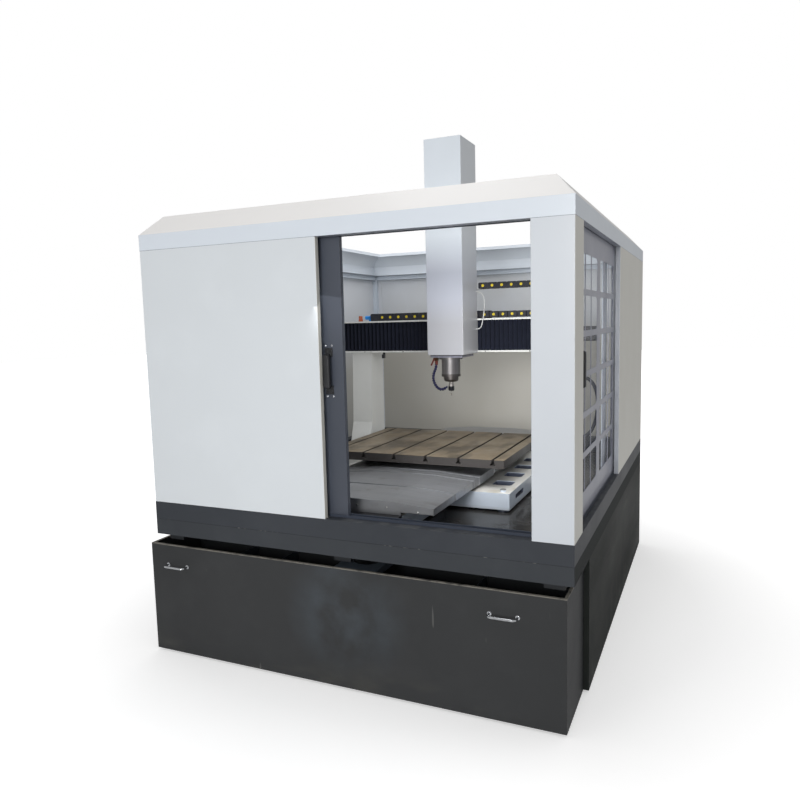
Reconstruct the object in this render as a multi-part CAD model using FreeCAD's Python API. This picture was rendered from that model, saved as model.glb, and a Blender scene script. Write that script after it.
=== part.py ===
import FreeCAD, Part
import math
import os

V = FreeCAD.Vector

# An enclosed gantry milling machine. All sizes are millimetres. While it is laid out, x runs from
# the cabinet's left side, y from its front plane towards the back and z up from the floor.

# cabinet
body_width = 1950.0
body_depth = 2405.0
sheet = 2.0
heavy_sheet = 3.0
seam = 1.0
ring_bottom = 572.0
ring_height = 74.0
ring_flange = 40.0
tray_wall = 82.0
tray_depth = 109.0
rim_front = 87.0
rim_right = 75.0
rim_plain = 60.0
wall_height = 1159.0
band_height = 71.0
roof_rise = 86.0
roof_inset = 80.0
roof_lip = 16.0
roof_lip_drop = 20.0
corner_wrap = 60.0
edge_return = 23.0
front_panel_width = 922.0
right_post_width = 156.0
right_post_depth = 170.0
side_opening_depth = 1070.0
post_size = 30.0
post_wall = 3.0
jamb_gap = 14.0
jamb_depth = 140.0

# lower cabinet and its frame
skirt_clearance = 10.0
skirt_return = 25.0
cabinet_front = 331.0
leg_size = 80.0
leg_inset = 9.0
beam_height = 76.0
tube_wall = 5.0
foot_radius = 45.0
foot_thickness = 15.0
foot_stem_radius = 12.0
foot_height = 60.0
cross_beam_count = 4

# doors
door_thickness = 22.0
door_skin = 2.0
front_door_width = 926.0
front_door_left = 80.0
front_door_plane = 49.0
front_door_stile = 99.0
side_door_width = 1137.0
side_door_front = 165.0
side_door_inset = 30.0
side_door_stile = 92.0
mullion_width = 78.0
window_rows = 6
window_height = 138.0
window_gap = 25.0
window_radius = 22.0
window_bottom = 100.0
bar_width = 8.0
bar_thickness = 3.0
bars_per_window = 2
glazing_thickness = 4.0
glazing_margin = 16.0
track_height = 12.0
header_height = 28.0
track_wall = 2.0
track_play = 3.0
glide_height = 5.0
glide_length = 40.0
glide_gap = 0.3
door_top_gap = 8.0
handle_height = 1344.0
handle_length = 140.0
handle_reach = 32.0
handle_bar = 14.0
handle_grip = 10.0
handle_foot_width = 36.0
handle_foot_height = 26.0
handle_foot_thickness = 4.0
front_handle_inset = 66.0
side_handle_inset = 51.0
screw_radius = 3.5
screw_head = 2.5
screw_spacing = 22.0

# coolant tank drawer
tank_offset = -22.0
tank_pull = 20.0
tank_depth = 345.0
tank_bottom = 12.0
tank_height = 519.0
tank_rim = 12.0
baffle_places = (361.0, 593.0, 1543.0)
baffle_height = 440.0
strainer_left = 962.0
strainer_width = 195.0
strainer_drop = 14.0
strainer_hole = 62.0
pump_radius = 55.0
pump_height = 300.0
tank_handle_height = 435.0
tank_handle_spacing = 110.0
tank_handle_reach = 34.0
tank_handle_radius = 5.0
tank_handle_left = 152.0
tank_handle_right = 237.0
runner_width = 30.0
runner_height = 24.0
runner_length = 520.0
runner_play = 0.5
runner_inset = 420.0
runner_drop = 90.0

# bed, table and way covers
bed_width = 1080.0
bed_front = 712.0
bed_length = 1118.0
bed_top = 712.0
pad_height = 12.0
pad_radius = 30.0
nose_width = 420.0
nose_front = 186.0
nose_back = 2270.0
way_top = 735.0
way_width = 60.0
rail_offset = 270.0
trough_width = 140.0
trough_floor = 645.0
bed_corner = 6.0
core_hole = 100.0
core_hole_radius = 18.0
core_hole_pitch = 208.0
core_hole_first = 928.0
core_hole_offset = 452.0
core_hole_rows = 5
bed_slot_length = 156.0
bed_slot_height = 23.0
bed_slot_rise = 30.0
table_width = 1000.0
table_length = 812.0
table_front = 768.0
table_top = 861.0
table_thickness = 43.0
table_slot_pitch = 177.0
table_slot_count = 6
slot_neck = 14.0
slot_neck_depth = 19.0
slot_foot = 25.0
slot_foot_height = 11.0
saddle_length = 330.0
saddle_width = 760.0
saddle_cheek = 30.0
saddle_skirt = 25.0
rail_width = 23.0
rail_height = 22.0
rail_waist = 3.0
block_width = 70.0
block_height = 28.0
block_length = 84.0
block_clear = 7.0
rail_play = 0.3
y_screw_radius = 12.5
y_screw_z = 672.0
screw_play = 0.05
screw_support = 40.0
cover_sheet = 3.0
cover_back = 2290.0
cover_half_width = 365.0
cover_crown = 779.0
cover_fall = 17.0
cover_flat = 156.0
cover_gap = 0.4
cover_skirt = 732.0
front_cover_places = (175.0, 438.0, 692.0, 766.0)
front_cover_lengths = (460.0, 404.0, 232.0)
rear_cover_length = 320.0
motor_box_width = 430.0
motor_box_front = 96.0
motor_box_height = 100.0
motor_size = 80.0
motor_length = 62.0

# gantry
column_width = 134.0
column_gap = 5.0
column_front = 1462.0
column_depth = 160.0
column_top = 1355.0
column_foot_rise = 297.0
column_foot_reach = 107.0
column_plate = 20.0
column_plate_margin = 30.0
column_bolt_radius = 10.0
beam_overhang = 50.0
beam_front = 1426.0
beam_back = 1618.0
beam_top = 1548.0
beam_lip = 9.0
beam_recess = 52.0
beam_wall = 16.0
x_rail_width = 20.0
x_rail_height = 16.0
x_rail_offset = 52.0
x_block_clear = 4.0
x_block_height = 21.0
x_block_width = 40.0
x_block_length = 64.0
x_screw_radius = 8.0
x_motor_size = 80.0
x_motor_length = 96.0
bellows_depth = 17.0
bellows_pleat = 26.0
bellows_fold_depth = 7.0
bellows_gap = 0.5

# carriage, Z column and ram
carriage_offset = 56.5
z_box_width = 210.0
z_box_front = 1170.0
z_box_depth = 253.0
z_box_bottom = 1351.0
z_box_top = 2515.0
z_column_thickness = 50.0
ram_size = 150.0
ram_wall = 12.0
ram_top = 1952.0
spindle_y = 1258.0
z_rail_width = 15.0
z_rail_height = 15.0
z_rail_offset = 62.0
z_rail_bottom = 1400.0
z_rail_top = 2290.0
z_block_width = 44.0
z_block_clear = 4.0
z_block_length = 60.0
z_block_places = (1660.0, 1880.0)
z_screw_radius = 10.0
z_screw_bottom = 1560.0
z_motor_shelf = 2320.0
z_motor_size = 110.0
z_motor_height = 130.0
spindle_plate_width = 190.0
spindle_plate_depth = 200.0
spindle_plate_thickness = 14.0
spindle_plate_front = 1180.0
spindle_plate_drop = 1.0
spindle_flange_radius = 66.0
spindle_flange = 12.0
spindle_radius = 52.5
spindle_ring = 1.5
spindle_ring_height = 13.0
spindle_nose_top = 1227.0
spindle_nose_bottom = 1197.0
spindle_nose_radius = 41.5
spindle_nose_round = 16.0
spindle_up = 1500.0
shaft_radius = 13.0
nut_top = 1169.0
nut_bottom = 1145.0
nut_radius = 17.0
nut_cone = 11.0
tool_tip = 1117.0
tool_radius = 4.0
tool_shank = 60.0

# coolant valve and jointed hose
valve_offset = 79.5
valve_y = 1236.0
valve_size = 22.0
valve_height = 20.0
lever_length = 44.0
lever_width = 9.0
lever_thickness = 3.0
lever_pin_radius = 3.0
lever_gap = 0.5
lever_angle = 27.0
hose_radius = 7.0
hose_waist = 5.2
hose_segments = 14
hose_bends = (
    (0.0, 0.0),
    (0.0, -36.0),
    (-21.0, -78.0),
    (-20.0, -118.0),
    (2.0, -156.0),
    (36.0, -168.0),
    (64.0, -146.0),
)

# energy chain on the beam and its fittings
chain_start = 173.0
chain_front = 1482.0
chain_width = 78.0
chain_height = 45.0
chain_wall = 4.0
chain_pitch = 55.0
chain_loop_start = 1218.0
chain_loop_radius = 83.5
chain_seam = 0.3
chain_fixed_links = 14
chain_inner_gap = 0.4
chain_inner_links = 9
chain_bend_links = 5
chain_upper_links = 6
chain_upper_lap = 12.0
bracket_width = 46.0
bracket_height = 40.0
bracket_thickness = 4.0
limit_switch_offset = 271.0
limit_switch_width = 16.0
limit_switch_height = 36.0
connector_offset = 85.0
elbow_offset = 156.0
fitting_y = 1520.0
fitting_radius = 12.0
fitting_height = 34.0

# conduit on the right column and air tube on the Z axis. The conduit's bends are shares of its reach
# beside the column and drops from the column's top. The tube's are millimetres from the Z box.
conduit_radius = 10.0
conduit_y = 1540.0
conduit_reach = 126.0
conduit_room = 0.6
conduit_bends = (
    (0.0, 143.0),
    (0.365, 143.0),
    (0.714, 171.0),
    (0.921, 221.0),
    (1.0, 281.0),
    (0.968, 343.0),
    (0.889, 403.0),
    (0.683, 463.0),
    (0.365, 495.0),
    (0.0, 495.0),
)
gland_radius = 16.0
gland_length = 20.0
air_tube_radius = 3.0
air_tube_y = 1404.0
air_tube_bends = (
    (0.0, 349.0),
    (22.0, 349.0),
    (42.0, 331.0),
    (50.0, 297.0),
    (49.0, 257.0),
    (45.0, 217.0),
    (38.0, 179.0),
    (31.0, 151.0),
    (16.0, 137.0),
    (0.0, 137.0),
)

# facets of round bars that follow a bent route
handle_sides = 16
cord_sides = 12
arc_step = math.pi / 16.0

# heights and places that follow from the sizes above
z_tray_edge = ring_bottom + ring_height
z_sill = z_tray_edge + tray_wall
z_floor = z_sill - tray_depth
z_band = z_sill + wall_height
z_eave = z_band + band_height
z_ridge = z_eave + roof_rise
side_door_x = body_width - side_door_inset
side_opening_back = right_post_depth + side_opening_depth
track_half = door_thickness / 2.0 + track_play + track_wall
front_track_middle = front_door_plane + door_thickness / 2.0
side_track_middle = side_door_x - door_thickness / 2.0
header_top = z_band + header_height
bed_middle = body_width / 2.0
table_bottom = table_top - table_thickness
table_middle = table_front + table_length / 2.0
beam_middle_z = (beam_top + column_top) / 2.0
z_box_back = z_box_front + z_box_depth
z_column_front = z_box_back - z_column_thickness
column_left = bed_middle - bed_width / 2.0 - column_gap - column_width
column_right = body_width - column_left - column_width
conduit_left = column_right + column_width
beam_left = column_left - beam_overhang
beam_right = conduit_left + beam_overhang
carriage_x = bed_middle + carriage_offset
valve_x = carriage_x - valve_offset
chain_left = beam_left + chain_start
chain_loop_x = beam_left + chain_loop_start
limit_switch_x = beam_left + limit_switch_offset
fitting_left_x = beam_left + connector_offset
fitting_right_x = beam_left + elbow_offset
tank_front = -tank_pull
tank_back = tank_front + tank_depth
tank_rim_z = tank_bottom + tank_height

# the resting frame of the part: middle of its overall box, on the floor
overall_left = min(0.0, tank_offset)
overall_right = side_door_x + handle_reach
overall_front = tank_front - tank_handle_reach - tank_handle_radius
origin = V((overall_left + overall_right) / 2.0, (overall_front + body_depth) / 2.0, 0.0)

os.makedirs("parts", exist_ok=True)


def save(name, shape):
    """Moves a finished piece into the part's own frame and writes it."""
    shape.translate(origin * -1.0)
    shape.exportStep("parts/" + name + ".step")


def prism(corners, run):
    """A straight extrusion of a closed outline."""
    return Part.Face(Part.makePolygon(corners + corners[:1])).extrude(run)


def along_x(outline, x0, x1):
    return prism([V(x0, y, z) for y, z in outline], V(x1 - x0, 0, 0))


def along_y(outline, y0, y1):
    return prism([V(x, y0, z) for x, z in outline], V(0, y1 - y0, 0))


def along_z(outline, z0, z1):
    return prism([V(x, y, z0) for x, y in outline], V(0, 0, z1 - z0))


def block(x0, x1, y0, y1, z0, z1):
    return Part.makeBox(x1 - x0, y1 - y0, z1 - z0, V(x0, y0, z0))


def bar_z(x, y, z0, z1, radius):
    return Part.makeCylinder(radius, z1 - z0, V(x, y, z0), V(0, 0, 1))


def bar_y(x, z, y0, y1, radius):
    return Part.makeCylinder(radius, y1 - y0, V(x, y0, z), V(0, 1, 0))


def bar_x(y, z, x0, x1, radius):
    return Part.makeCylinder(radius, x1 - x0, V(x0, y, z), V(1, 0, 0))


def fused(shapes):
    """One solid from pieces that share faces or volume."""
    return shapes[0].multiFuse(shapes[1:]).removeSplitter()


def group(shapes):
    """Separate solids that share one name."""
    return Part.makeCompound([solid for shape in shapes for solid in shape.Solids])


def folded(path, thickness):
    """Closed outline of a sheet bent along a path. The sheet lies to the left of the path."""
    steps = []
    for (u0, v0), (u1, v1) in zip(path, path[1:]):
        length = math.hypot(u1 - u0, v1 - v0)
        steps.append((-(v1 - v0) / length, (u1 - u0) / length))
    inner = [(path[0][0] + steps[0][0] * thickness, path[0][1] + steps[0][1] * thickness)]
    for corner, before, after in zip(path[1:-1], steps, steps[1:]):
        scale = thickness / (1.0 + before[0] * after[0] + before[1] * after[1])
        shift_u = (before[0] + after[0]) * scale
        shift_v = (before[1] + after[1]) * scale
        inner.append((corner[0] + shift_u, corner[1] + shift_v))
    last = path[-1]
    inner.append((last[0] + steps[-1][0] * thickness, last[1] + steps[-1][1] * thickness))
    return list(path) + inner[::-1]


def rounded(shape, radius, wanted):
    """The shape with the wanted edges rounded."""
    return shape.makeFillet(radius, [edge for edge in shape.Edges if wanted(edge)])


def is_along(edge, axis):
    """True for a straight edge that runs along one axis: 0 for x, 1 for y, 2 for z."""
    box = edge.BoundBox
    spans = (box.XLength, box.YLength, box.ZLength)
    others = [span for index, span in enumerate(spans) if index != axis]
    return spans[axis] > 1.0 and max(others) < 1e-6


def stands_at(edge, x, y):
    """True for an upright edge at one place in plan."""
    box = edge.BoundBox
    return is_along(edge, 2) and abs(box.XMin - x) < 1e-3 and abs(box.YMin - y) < 1e-3


# ---------------------------------------------------------------- cabinet ring and chip tray


def rectangle(margin_left, margin_right, margin_front, margin_back, z0, z1):
    """A slab over the cabinet's plan, drawn in from each side."""
    return block(margin_left, body_width - margin_right, margin_front, body_depth - margin_back, z0, z1)


def even_rectangle(margin, z0, z1):
    return rectangle(margin, margin, margin, margin, z0, z1)


def base_ring():
    """Channel section that runs round the cabinet under the tray, open to the inside."""
    outer = even_rectangle(0.0, ring_bottom, z_tray_edge)
    channel = even_rectangle(heavy_sheet, ring_bottom + heavy_sheet, z_tray_edge - heavy_sheet)
    middle = even_rectangle(ring_flange, ring_bottom, z_tray_edge)
    return outer.cut(channel).cut(middle)


def chip_tray():
    """Folded tray: outer wall, rim, basin wall and floor in one sheet."""
    basin = (rim_plain, rim_right, rim_front, rim_plain)
    shell = [margin - heavy_sheet for margin in basin]
    wall = even_rectangle(0.0, z_tray_edge, z_sill)
    wall = wall.fuse(rectangle(*shell, z_floor - heavy_sheet, z_sill))
    under_rim = even_rectangle(heavy_sheet, z_tray_edge - 1.0, z_sill - heavy_sheet)
    under_rim = under_rim.cut(rectangle(*shell, z_tray_edge - 1.0, z_sill))
    tray = wall.cut(under_rim).cut(rectangle(*basin, z_floor, z_sill + 1.0))
    return tray.removeSplitter()


save("base_ring", base_ring())
save("chip_tray", chip_tray())

# ---------------------------------------------------------------- lower cabinet


def lower_side_panel():
    """Left lower panel with its front edge and its back corner folded in."""
    path = [
        (skirt_return, body_depth),
        (0.0, body_depth),
        (0.0, cabinet_front),
        (skirt_return, cabinet_front),
    ]
    return along_z(folded(path, sheet), skirt_clearance, ring_bottom)


def across(shape):
    """The same piece on the other side of the cabinet."""
    return shape.mirror(V(body_width / 2.0, 0, 0), V(1, 0, 0))


lower_left = lower_side_panel()
lower_back_path = [(body_width - skirt_return - seam, body_depth), (skirt_return + seam, body_depth)]
lower_back = along_z(folded(lower_back_path, sheet), skirt_clearance, ring_bottom)
save("lower_panels", group([across(lower_left), lower_left, lower_back]))


def tube(x0, x1, y0, y1, z0, z1):
    """Closed square tube with capped ends."""
    hollow = block(
        x0 + tube_wall, x1 - tube_wall, y0 + tube_wall, y1 - tube_wall, z0 + tube_wall, z1 - tube_wall
    )
    return block(x0, x1, y0, y1, z0, z1).cut(hollow)


beam_z1 = z_floor - heavy_sheet
beam_z0 = beam_z1 - beam_height
leg_columns = (ring_flange, bed_middle - leg_size / 2.0, body_width - ring_flange - leg_size)
leg_rows = (cabinet_front + leg_inset, body_depth - ring_flange - leg_size)
leg_places = [(x, y) for x in leg_columns for y in leg_rows]
cross_pitch = (leg_rows[1] - leg_rows[0]) / (cross_beam_count - 1)
cross_rows = [leg_rows[0] + row * cross_pitch for row in range(cross_beam_count)]


def base_frame():
    """Welded frame: legs, long beams from front to back and short beams between them."""
    pieces = [tube(x, x + leg_size, y, y + leg_size, foot_height, beam_z0) for x, y in leg_places]
    for x in leg_columns:
        pieces.append(tube(x, x + leg_size, ring_flange, body_depth - ring_flange, beam_z0, beam_z1))
    for y in cross_rows:
        for left, right in zip(leg_columns, leg_columns[1:]):
            pieces.append(tube(left + leg_size, right, y, y + leg_size, beam_z0, beam_z1))
    return group(pieces)


save("base_frame", base_frame())


def levelling_foot(x, y):
    pad = bar_z(x, y, 0.0, foot_thickness, foot_radius)
    top_edge = [edge for edge in pad.Edges if edge.BoundBox.ZMin > foot_thickness - 0.1]
    pad = pad.makeChamfer(foot_thickness / 3.0, top_edge)
    return pad.fuse(bar_z(x, y, foot_thickness, foot_height, foot_stem_radius))


save(
    "levelling_feet",
    group([levelling_foot(x + leg_size / 2.0, y + leg_size / 2.0) for x, y in leg_places]),
)

# ---------------------------------------------------------------- upper walls


def wall_panel(path, corners):
    """A wall folded from sheet, with its outer corners softened."""
    panel = along_z(folded(path, sheet), z_sill, z_band)
    outer = rounded(panel, sheet * 1.5, lambda edge: any(stands_at(edge, x, y) for x, y in corners))
    return outer


save(
    "front_left_panel",
    wall_panel(
        [(0.0, corner_wrap), (0.0, 0.0), (front_panel_width, 0.0), (front_panel_width, edge_return)],
        [(0.0, 0.0), (front_panel_width, 0.0)],
    ),
)
post_left = body_width - right_post_width
save(
    "front_right_post",
    wall_panel(
        [
            (post_left, edge_return),
            (post_left, 0.0),
            (body_width, 0.0),
            (body_width, right_post_depth),
            (body_width - edge_return, right_post_depth),
        ],
        [(post_left, 0.0), (body_width, 0.0), (body_width, right_post_depth)],
    ),
)
save(
    "left_wall",
    wall_panel(
        [(corner_wrap, body_depth), (0.0, body_depth), (0.0, corner_wrap + seam)], [(0.0, body_depth)]
    ),
)
save(
    "back_wall",
    along_z(
        folded([(body_width - corner_wrap - seam, body_depth), (corner_wrap + seam, body_depth)], sheet),
        z_sill,
        z_band,
    ),
)
save(
    "rear_right_panel",
    wall_panel(
        [
            (body_width - edge_return, side_opening_back),
            (body_width, side_opening_back),
            (body_width, body_depth),
            (body_width - corner_wrap, body_depth),
        ],
        [(body_width, side_opening_back), (body_width, body_depth)],
    ),
)


def corner_post(x, y):
    outer = block(x, x + post_size, y, y + post_size, z_sill, z_band)
    bore = block(
        x + post_wall, x + post_size - post_wall, y + post_wall, y + post_size - post_wall, z_sill, z_band
    )
    return outer.cut(bore)


post_far_x = body_width - sheet - post_size
post_far_y = body_depth - sheet - post_size
rail_z = z_band - post_size


def inner_frame():
    """Posts in the corners, two rails under the roof and the jamb behind the side door's far end."""
    pieces = [corner_post(x, y) for x in (sheet, post_far_x) for y in (sheet, post_far_y)]
    pieces.append(tube(sheet, sheet + post_size, sheet + post_size, post_far_y, rail_z, z_band))
    pieces.append(tube(sheet + post_size, post_far_x, post_far_y, post_far_y + post_size, rail_z, z_band))
    jamb_right = side_door_x - door_thickness - jamb_gap
    jamb_path = [
        (jamb_right, side_opening_back - jamb_depth),
        (jamb_right, side_opening_back),
        (jamb_right - edge_return, side_opening_back),
    ]
    pieces.append(along_z(folded(jamb_path, heavy_sheet), z_sill, z_band))
    return group(pieces)


save("inner_frame", inner_frame())

# ---------------------------------------------------------------- roof collar


def collar_outline(flange):
    """Section of the roof collar: distance in from the outer face, and height."""
    lip_end = roof_inset + roof_lip
    path = [
        (lip_end, z_ridge - roof_lip_drop),
        (lip_end, z_ridge),
        (roof_inset, z_ridge),
        (0.0, z_eave),
        (0.0, z_band),
        (flange, z_band),
    ]
    return folded(path, sheet)


def mitre(corners):
    """The part of a collar side that its two mitred ends leave."""
    return along_z(corners, z_band - 1.0, z_ridge + 1.0)


half_span = roof_inset + corner_wrap
front_mitre = mitre(
    [(0.0, 0.0), (body_width, 0.0), (body_width - half_span, half_span), (half_span, half_span)]
)
side_mitre = mitre(
    [(0.0, 0.0), (half_span, half_span), (half_span, body_depth - half_span), (0.0, body_depth)]
)


def front_collar(flange):
    return along_x(collar_outline(flange), 0.0, body_width).common(front_mitre)


def side_collar(flange):
    return along_y(collar_outline(flange), 0.0, body_depth).common(side_mitre)


def far_side(shape):
    """The same piece turned to face the back of the cabinet."""
    return shape.mirror(V(0, body_depth / 2.0, 0), V(0, 1, 0))


save(
    "roof_collar",
    group(
        [
            front_collar(front_track_middle - track_half),
            far_side(front_collar(rim_plain)),
            side_collar(rim_plain),
            across(side_collar(body_width - side_track_middle - track_half)),
        ]
    ),
)

# ---------------------------------------------------------------- sliding doors

front_track_ends = (rim_plain, post_left + corner_wrap)
side_track_ends = (side_door_front - corner_wrap, body_depth - rim_plain)


def track_outline(middle, z_base, height):
    """Channel that a door edge runs in. A negative height opens it downwards."""
    turn = math.copysign(1.0, height)
    near = middle - track_half * turn
    far = middle + track_half * turn
    return folded([(near, z_base + height), (near, z_base), (far, z_base), (far, z_base + height)], track_wall)


save(
    "door_tracks",
    group(
        [
            along_x(track_outline(front_track_middle, z_sill, track_height), *front_track_ends),
            along_x(track_outline(front_track_middle, header_top, -header_height), *front_track_ends),
            along_y(track_outline(side_track_middle, z_sill, track_height), *side_track_ends),
            along_y(track_outline(side_track_middle, header_top, -header_height), *side_track_ends),
        ]
    ),
)

leaf_bottom = z_sill + track_wall + glide_gap + glide_height
leaf_top = header_top - track_wall - door_top_gap
window_z0 = leaf_bottom + window_bottom
window_pitch = window_height + window_gap
window_z1 = window_z0 + window_rows * window_pitch - window_gap


def window_columns(width, stile):
    """Left and right edge of each of a leaf's two columns of windows."""
    column = (width - 2.0 * stile - mullion_width) / 2.0
    right = stile + column + mullion_width
    return [(stile, stile + column), (right, right + column)]


def window_cut(u0, u1, z0):
    hole = block(u0, u1, -1.0, door_skin + 1.0, z0, z0 + window_height)
    return rounded(hole, window_radius, lambda edge: is_along(edge, 1))


def door_leaf(width, stile):
    """Pressed steel leaf with its skin at y 0: turned edges, windows and thin upright bars."""
    leaf = block(0.0, width, 0.0, door_thickness, leaf_bottom, leaf_top)
    pocket = block(
        door_skin, width - door_skin, door_skin, door_thickness + 1.0, leaf_bottom + door_skin, leaf_top - door_skin
    )
    leaf = leaf.cut(pocket)
    columns = window_columns(width, stile)
    rows = [window_z0 + row * window_pitch for row in range(window_rows)]
    leaf = leaf.cut(group([window_cut(u0, u1, z) for u0, u1 in columns for z in rows]))
    bars = []
    for u0, u1 in columns:
        for index in range(bars_per_window):
            middle = u0 + (u1 - u0) * (index + 1) / (bars_per_window + 1)
            bars.append(
                block(
                    middle - bar_width / 2.0,
                    middle + bar_width / 2.0,
                    door_skin,
                    door_skin + bar_thickness,
                    window_z0 - glazing_margin,
                    window_z1 + glazing_margin,
                )
            )
    return fused([leaf] + bars)


def door_glazing(width, stile):
    near = door_skin + bar_thickness
    return block(
        stile - glazing_margin,
        width - stile + glazing_margin,
        near,
        near + glazing_thickness,
        window_z0 - glazing_margin,
        window_z1 + glazing_margin,
    )


def door_glides(width):
    """Nylon blocks under and over a leaf that run in its track and header."""
    pieces = []
    for u in (glide_length, width - 2.0 * glide_length):
        y0 = -track_play / 2.0
        y1 = door_thickness + track_play / 2.0
        low = leaf_bottom - glide_height
        high = header_top - track_wall - glide_gap
        pieces.append(block(u, u + glide_length, y0, y1, low, leaf_bottom))
        pieces.append(block(u, u + glide_length, y0, y1, leaf_top, high))
    return group(pieces)


def door_handle(u):
    """Bow handle on two screwed feet."""
    z0 = handle_height - handle_length / 2.0
    z1 = handle_height + handle_length / 2.0
    half = handle_bar / 2.0
    outer = block(u - half, u + half, -handle_reach, 0.0, z0, z1)
    outer = rounded(outer, handle_grip, lambda edge: is_along(edge, 0) and edge.BoundBox.YMax < -1.0)
    inner = block(u - half, u + half, handle_grip - handle_reach, 0.0, z0 + handle_grip, z1 - handle_grip)
    bow = outer.cut(inner)
    foot = handle_foot_width / 2.0
    low = block(u - foot, u + foot, -handle_foot_thickness, 0.0, z0 - handle_foot_height, z0 + handle_grip)
    high = block(u - foot, u + foot, -handle_foot_thickness, 0.0, z1 - handle_grip, z1 + handle_foot_height)
    return fused([bow, low, high])


def handle_screws(u):
    """Round-headed screws, two in each foot of a door handle."""
    pieces = []
    reach = handle_length / 2.0 + handle_foot_height / 2.0
    for side in (-0.5, 0.5):
        for z in (handle_height - reach, handle_height + reach):
            pieces.append(
                bar_y(
                    u + side * screw_spacing,
                    z,
                    -handle_foot_thickness - screw_head,
                    -handle_foot_thickness,
                    screw_radius,
                )
            )
    return group(pieces)


def in_front(shape):
    """Puts a leaf's piece in the front opening, as it stands when that door is open."""
    shape.translate(V(front_door_left, front_door_plane, 0))
    return shape


def at_side(shape):
    """Puts a leaf's piece in the right side opening, with the door closed."""
    shape.rotate(V(0, 0, 0), V(0, 0, 1), 90.0)
    shape.translate(V(side_door_x, side_door_front, 0))
    return shape


front_handle_u = front_door_width - front_handle_inset
front_leaf = [door_leaf(front_door_width, front_door_stile), door_glides(front_door_width)]
side_leaf = [door_leaf(side_door_width, side_door_stile), door_glides(side_door_width)]
save("front_door_leaf", in_front(group(front_leaf)))
save("front_door_glazing", in_front(door_glazing(front_door_width, front_door_stile)))
save("front_door_handle", in_front(group([door_handle(front_handle_u), handle_screws(front_handle_u)])))
save("side_door_leaf", at_side(group(side_leaf)))
save("side_door_glazing", at_side(door_glazing(side_door_width, side_door_stile)))
save("side_door_handle", at_side(group([door_handle(side_handle_inset), handle_screws(side_handle_inset)])))

# ---------------------------------------------------------------- coolant tank drawer

tank_left = tank_offset
tank_right = tank_offset + body_width


def tank_shell():
    """Open tank of folded sheet with its rim turned in."""
    outer = block(tank_left, tank_right, tank_front, tank_back, tank_bottom, tank_rim_z)
    inner = block(
        tank_left + heavy_sheet,
        tank_right - heavy_sheet,
        tank_front + heavy_sheet,
        tank_back - heavy_sheet,
        tank_bottom + heavy_sheet,
        tank_rim_z - heavy_sheet,
    )
    mouth = block(
        tank_left + tank_rim,
        tank_right - tank_rim,
        tank_front + tank_rim,
        tank_back - tank_rim,
        tank_rim_z - 2.0 * heavy_sheet,
        tank_rim_z + 1.0,
    )
    return outer.cut(inner).cut(mouth)


def tank_baffles():
    """Weir plates that stand on the tank's floor and run from front to back."""
    floor = tank_bottom + heavy_sheet
    y0 = tank_front + heavy_sheet
    y1 = tank_back - heavy_sheet
    return group(
        [
            block(x + tank_offset, x + tank_offset + heavy_sheet, y0, y1, floor, floor + baffle_height)
            for x in baffle_places
        ]
    )


def strainer_plate():
    """Folded shelf across the tank with a round hole for the pump."""
    x0 = strainer_left + tank_offset
    x1 = x0 + strainer_width
    top = tank_rim_z - strainer_drop
    path = [
        (x1, top - 2.0 * strainer_drop),
        (x1, top),
        (x0, top),
        (x0, top - 2.0 * strainer_drop),
    ]
    shelf = along_y(folded(path, heavy_sheet), tank_front + heavy_sheet, tank_back - heavy_sheet)
    middle_y = (tank_front + tank_back) / 2.0
    hole = bar_z((x0 + x1) / 2.0, middle_y, top - 2.0 * heavy_sheet, top + 1.0, strainer_hole)
    return shelf.cut(hole)


def coolant_pump():
    """Immersion pump that stands on the tank's floor under the shelf."""
    x = strainer_left + tank_offset + strainer_width / 2.0
    y = (tank_front + tank_back) / 2.0
    floor = tank_bottom + heavy_sheet
    body = bar_z(x, y, floor, floor + pump_height, pump_radius)
    neck = bar_z(x, y, floor + pump_height, floor + pump_height + pump_radius, pump_radius / 2.0)
    return fused([body, neck])


def bow_corner(before, corner, after):
    """The arc that eases one corner of a route, as large as its two runs allow: its ends and radius."""
    back = before - corner
    ahead = after - corner
    cut = 0.45 * min(back.Length, ahead.Length)
    back.normalize()
    ahead.normalize()
    radius = cut * math.tan(back.getAngle(ahead) / 2.0)
    return corner + back * cut, corner + ahead * cut, radius


def bow_corners(points):
    return [bow_corner(*corner) for corner in zip(points, points[1:], points[2:])]


def bow_stations(points):
    """Places and headings along a route of straight runs and tangent arcs, a small step apart."""
    stations = [(points[0], points[1] - points[0])]
    for (entry, leave, radius), corner in zip(bow_corners(points), points[1:]):
        start = corner - entry
        end = leave - corner
        turn = start.getAngle(end)
        start.normalize()
        end.normalize()
        square = end - start * math.cos(turn)
        square.normalize()
        steps = math.ceil(turn / arc_step)
        for step in range(steps + 1):
            angle = turn * step / steps
            place = entry + start * (radius * math.sin(angle)) + square * (radius * (1.0 - math.cos(angle)))
            stations.append((place, start * math.cos(angle) + square * math.sin(angle)))
    stations.append((points[-1], points[-1] - points[-2]))
    return stations


def facet_ring(place, heading, level, radius, sides):
    """Outline of a round section in plain facets, square to its heading and level with the route."""
    across = heading.cross(level)
    across.normalize()
    angles = [math.tau * side / sides for side in range(sides)]
    corners = [place + across * (radius * math.cos(a)) + level * (radius * math.sin(a)) for a in angles]
    return Part.makePolygon(corners + corners[:1])


def round_tube(points, level, radius, sides):
    """A round bar or tube that follows a flat route. Level is square to the route's plane."""
    rings = [facet_ring(place, heading, level, radius, sides) for place, heading in bow_stations(points)]
    return Part.makeLoft(rings, True, True)


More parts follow.
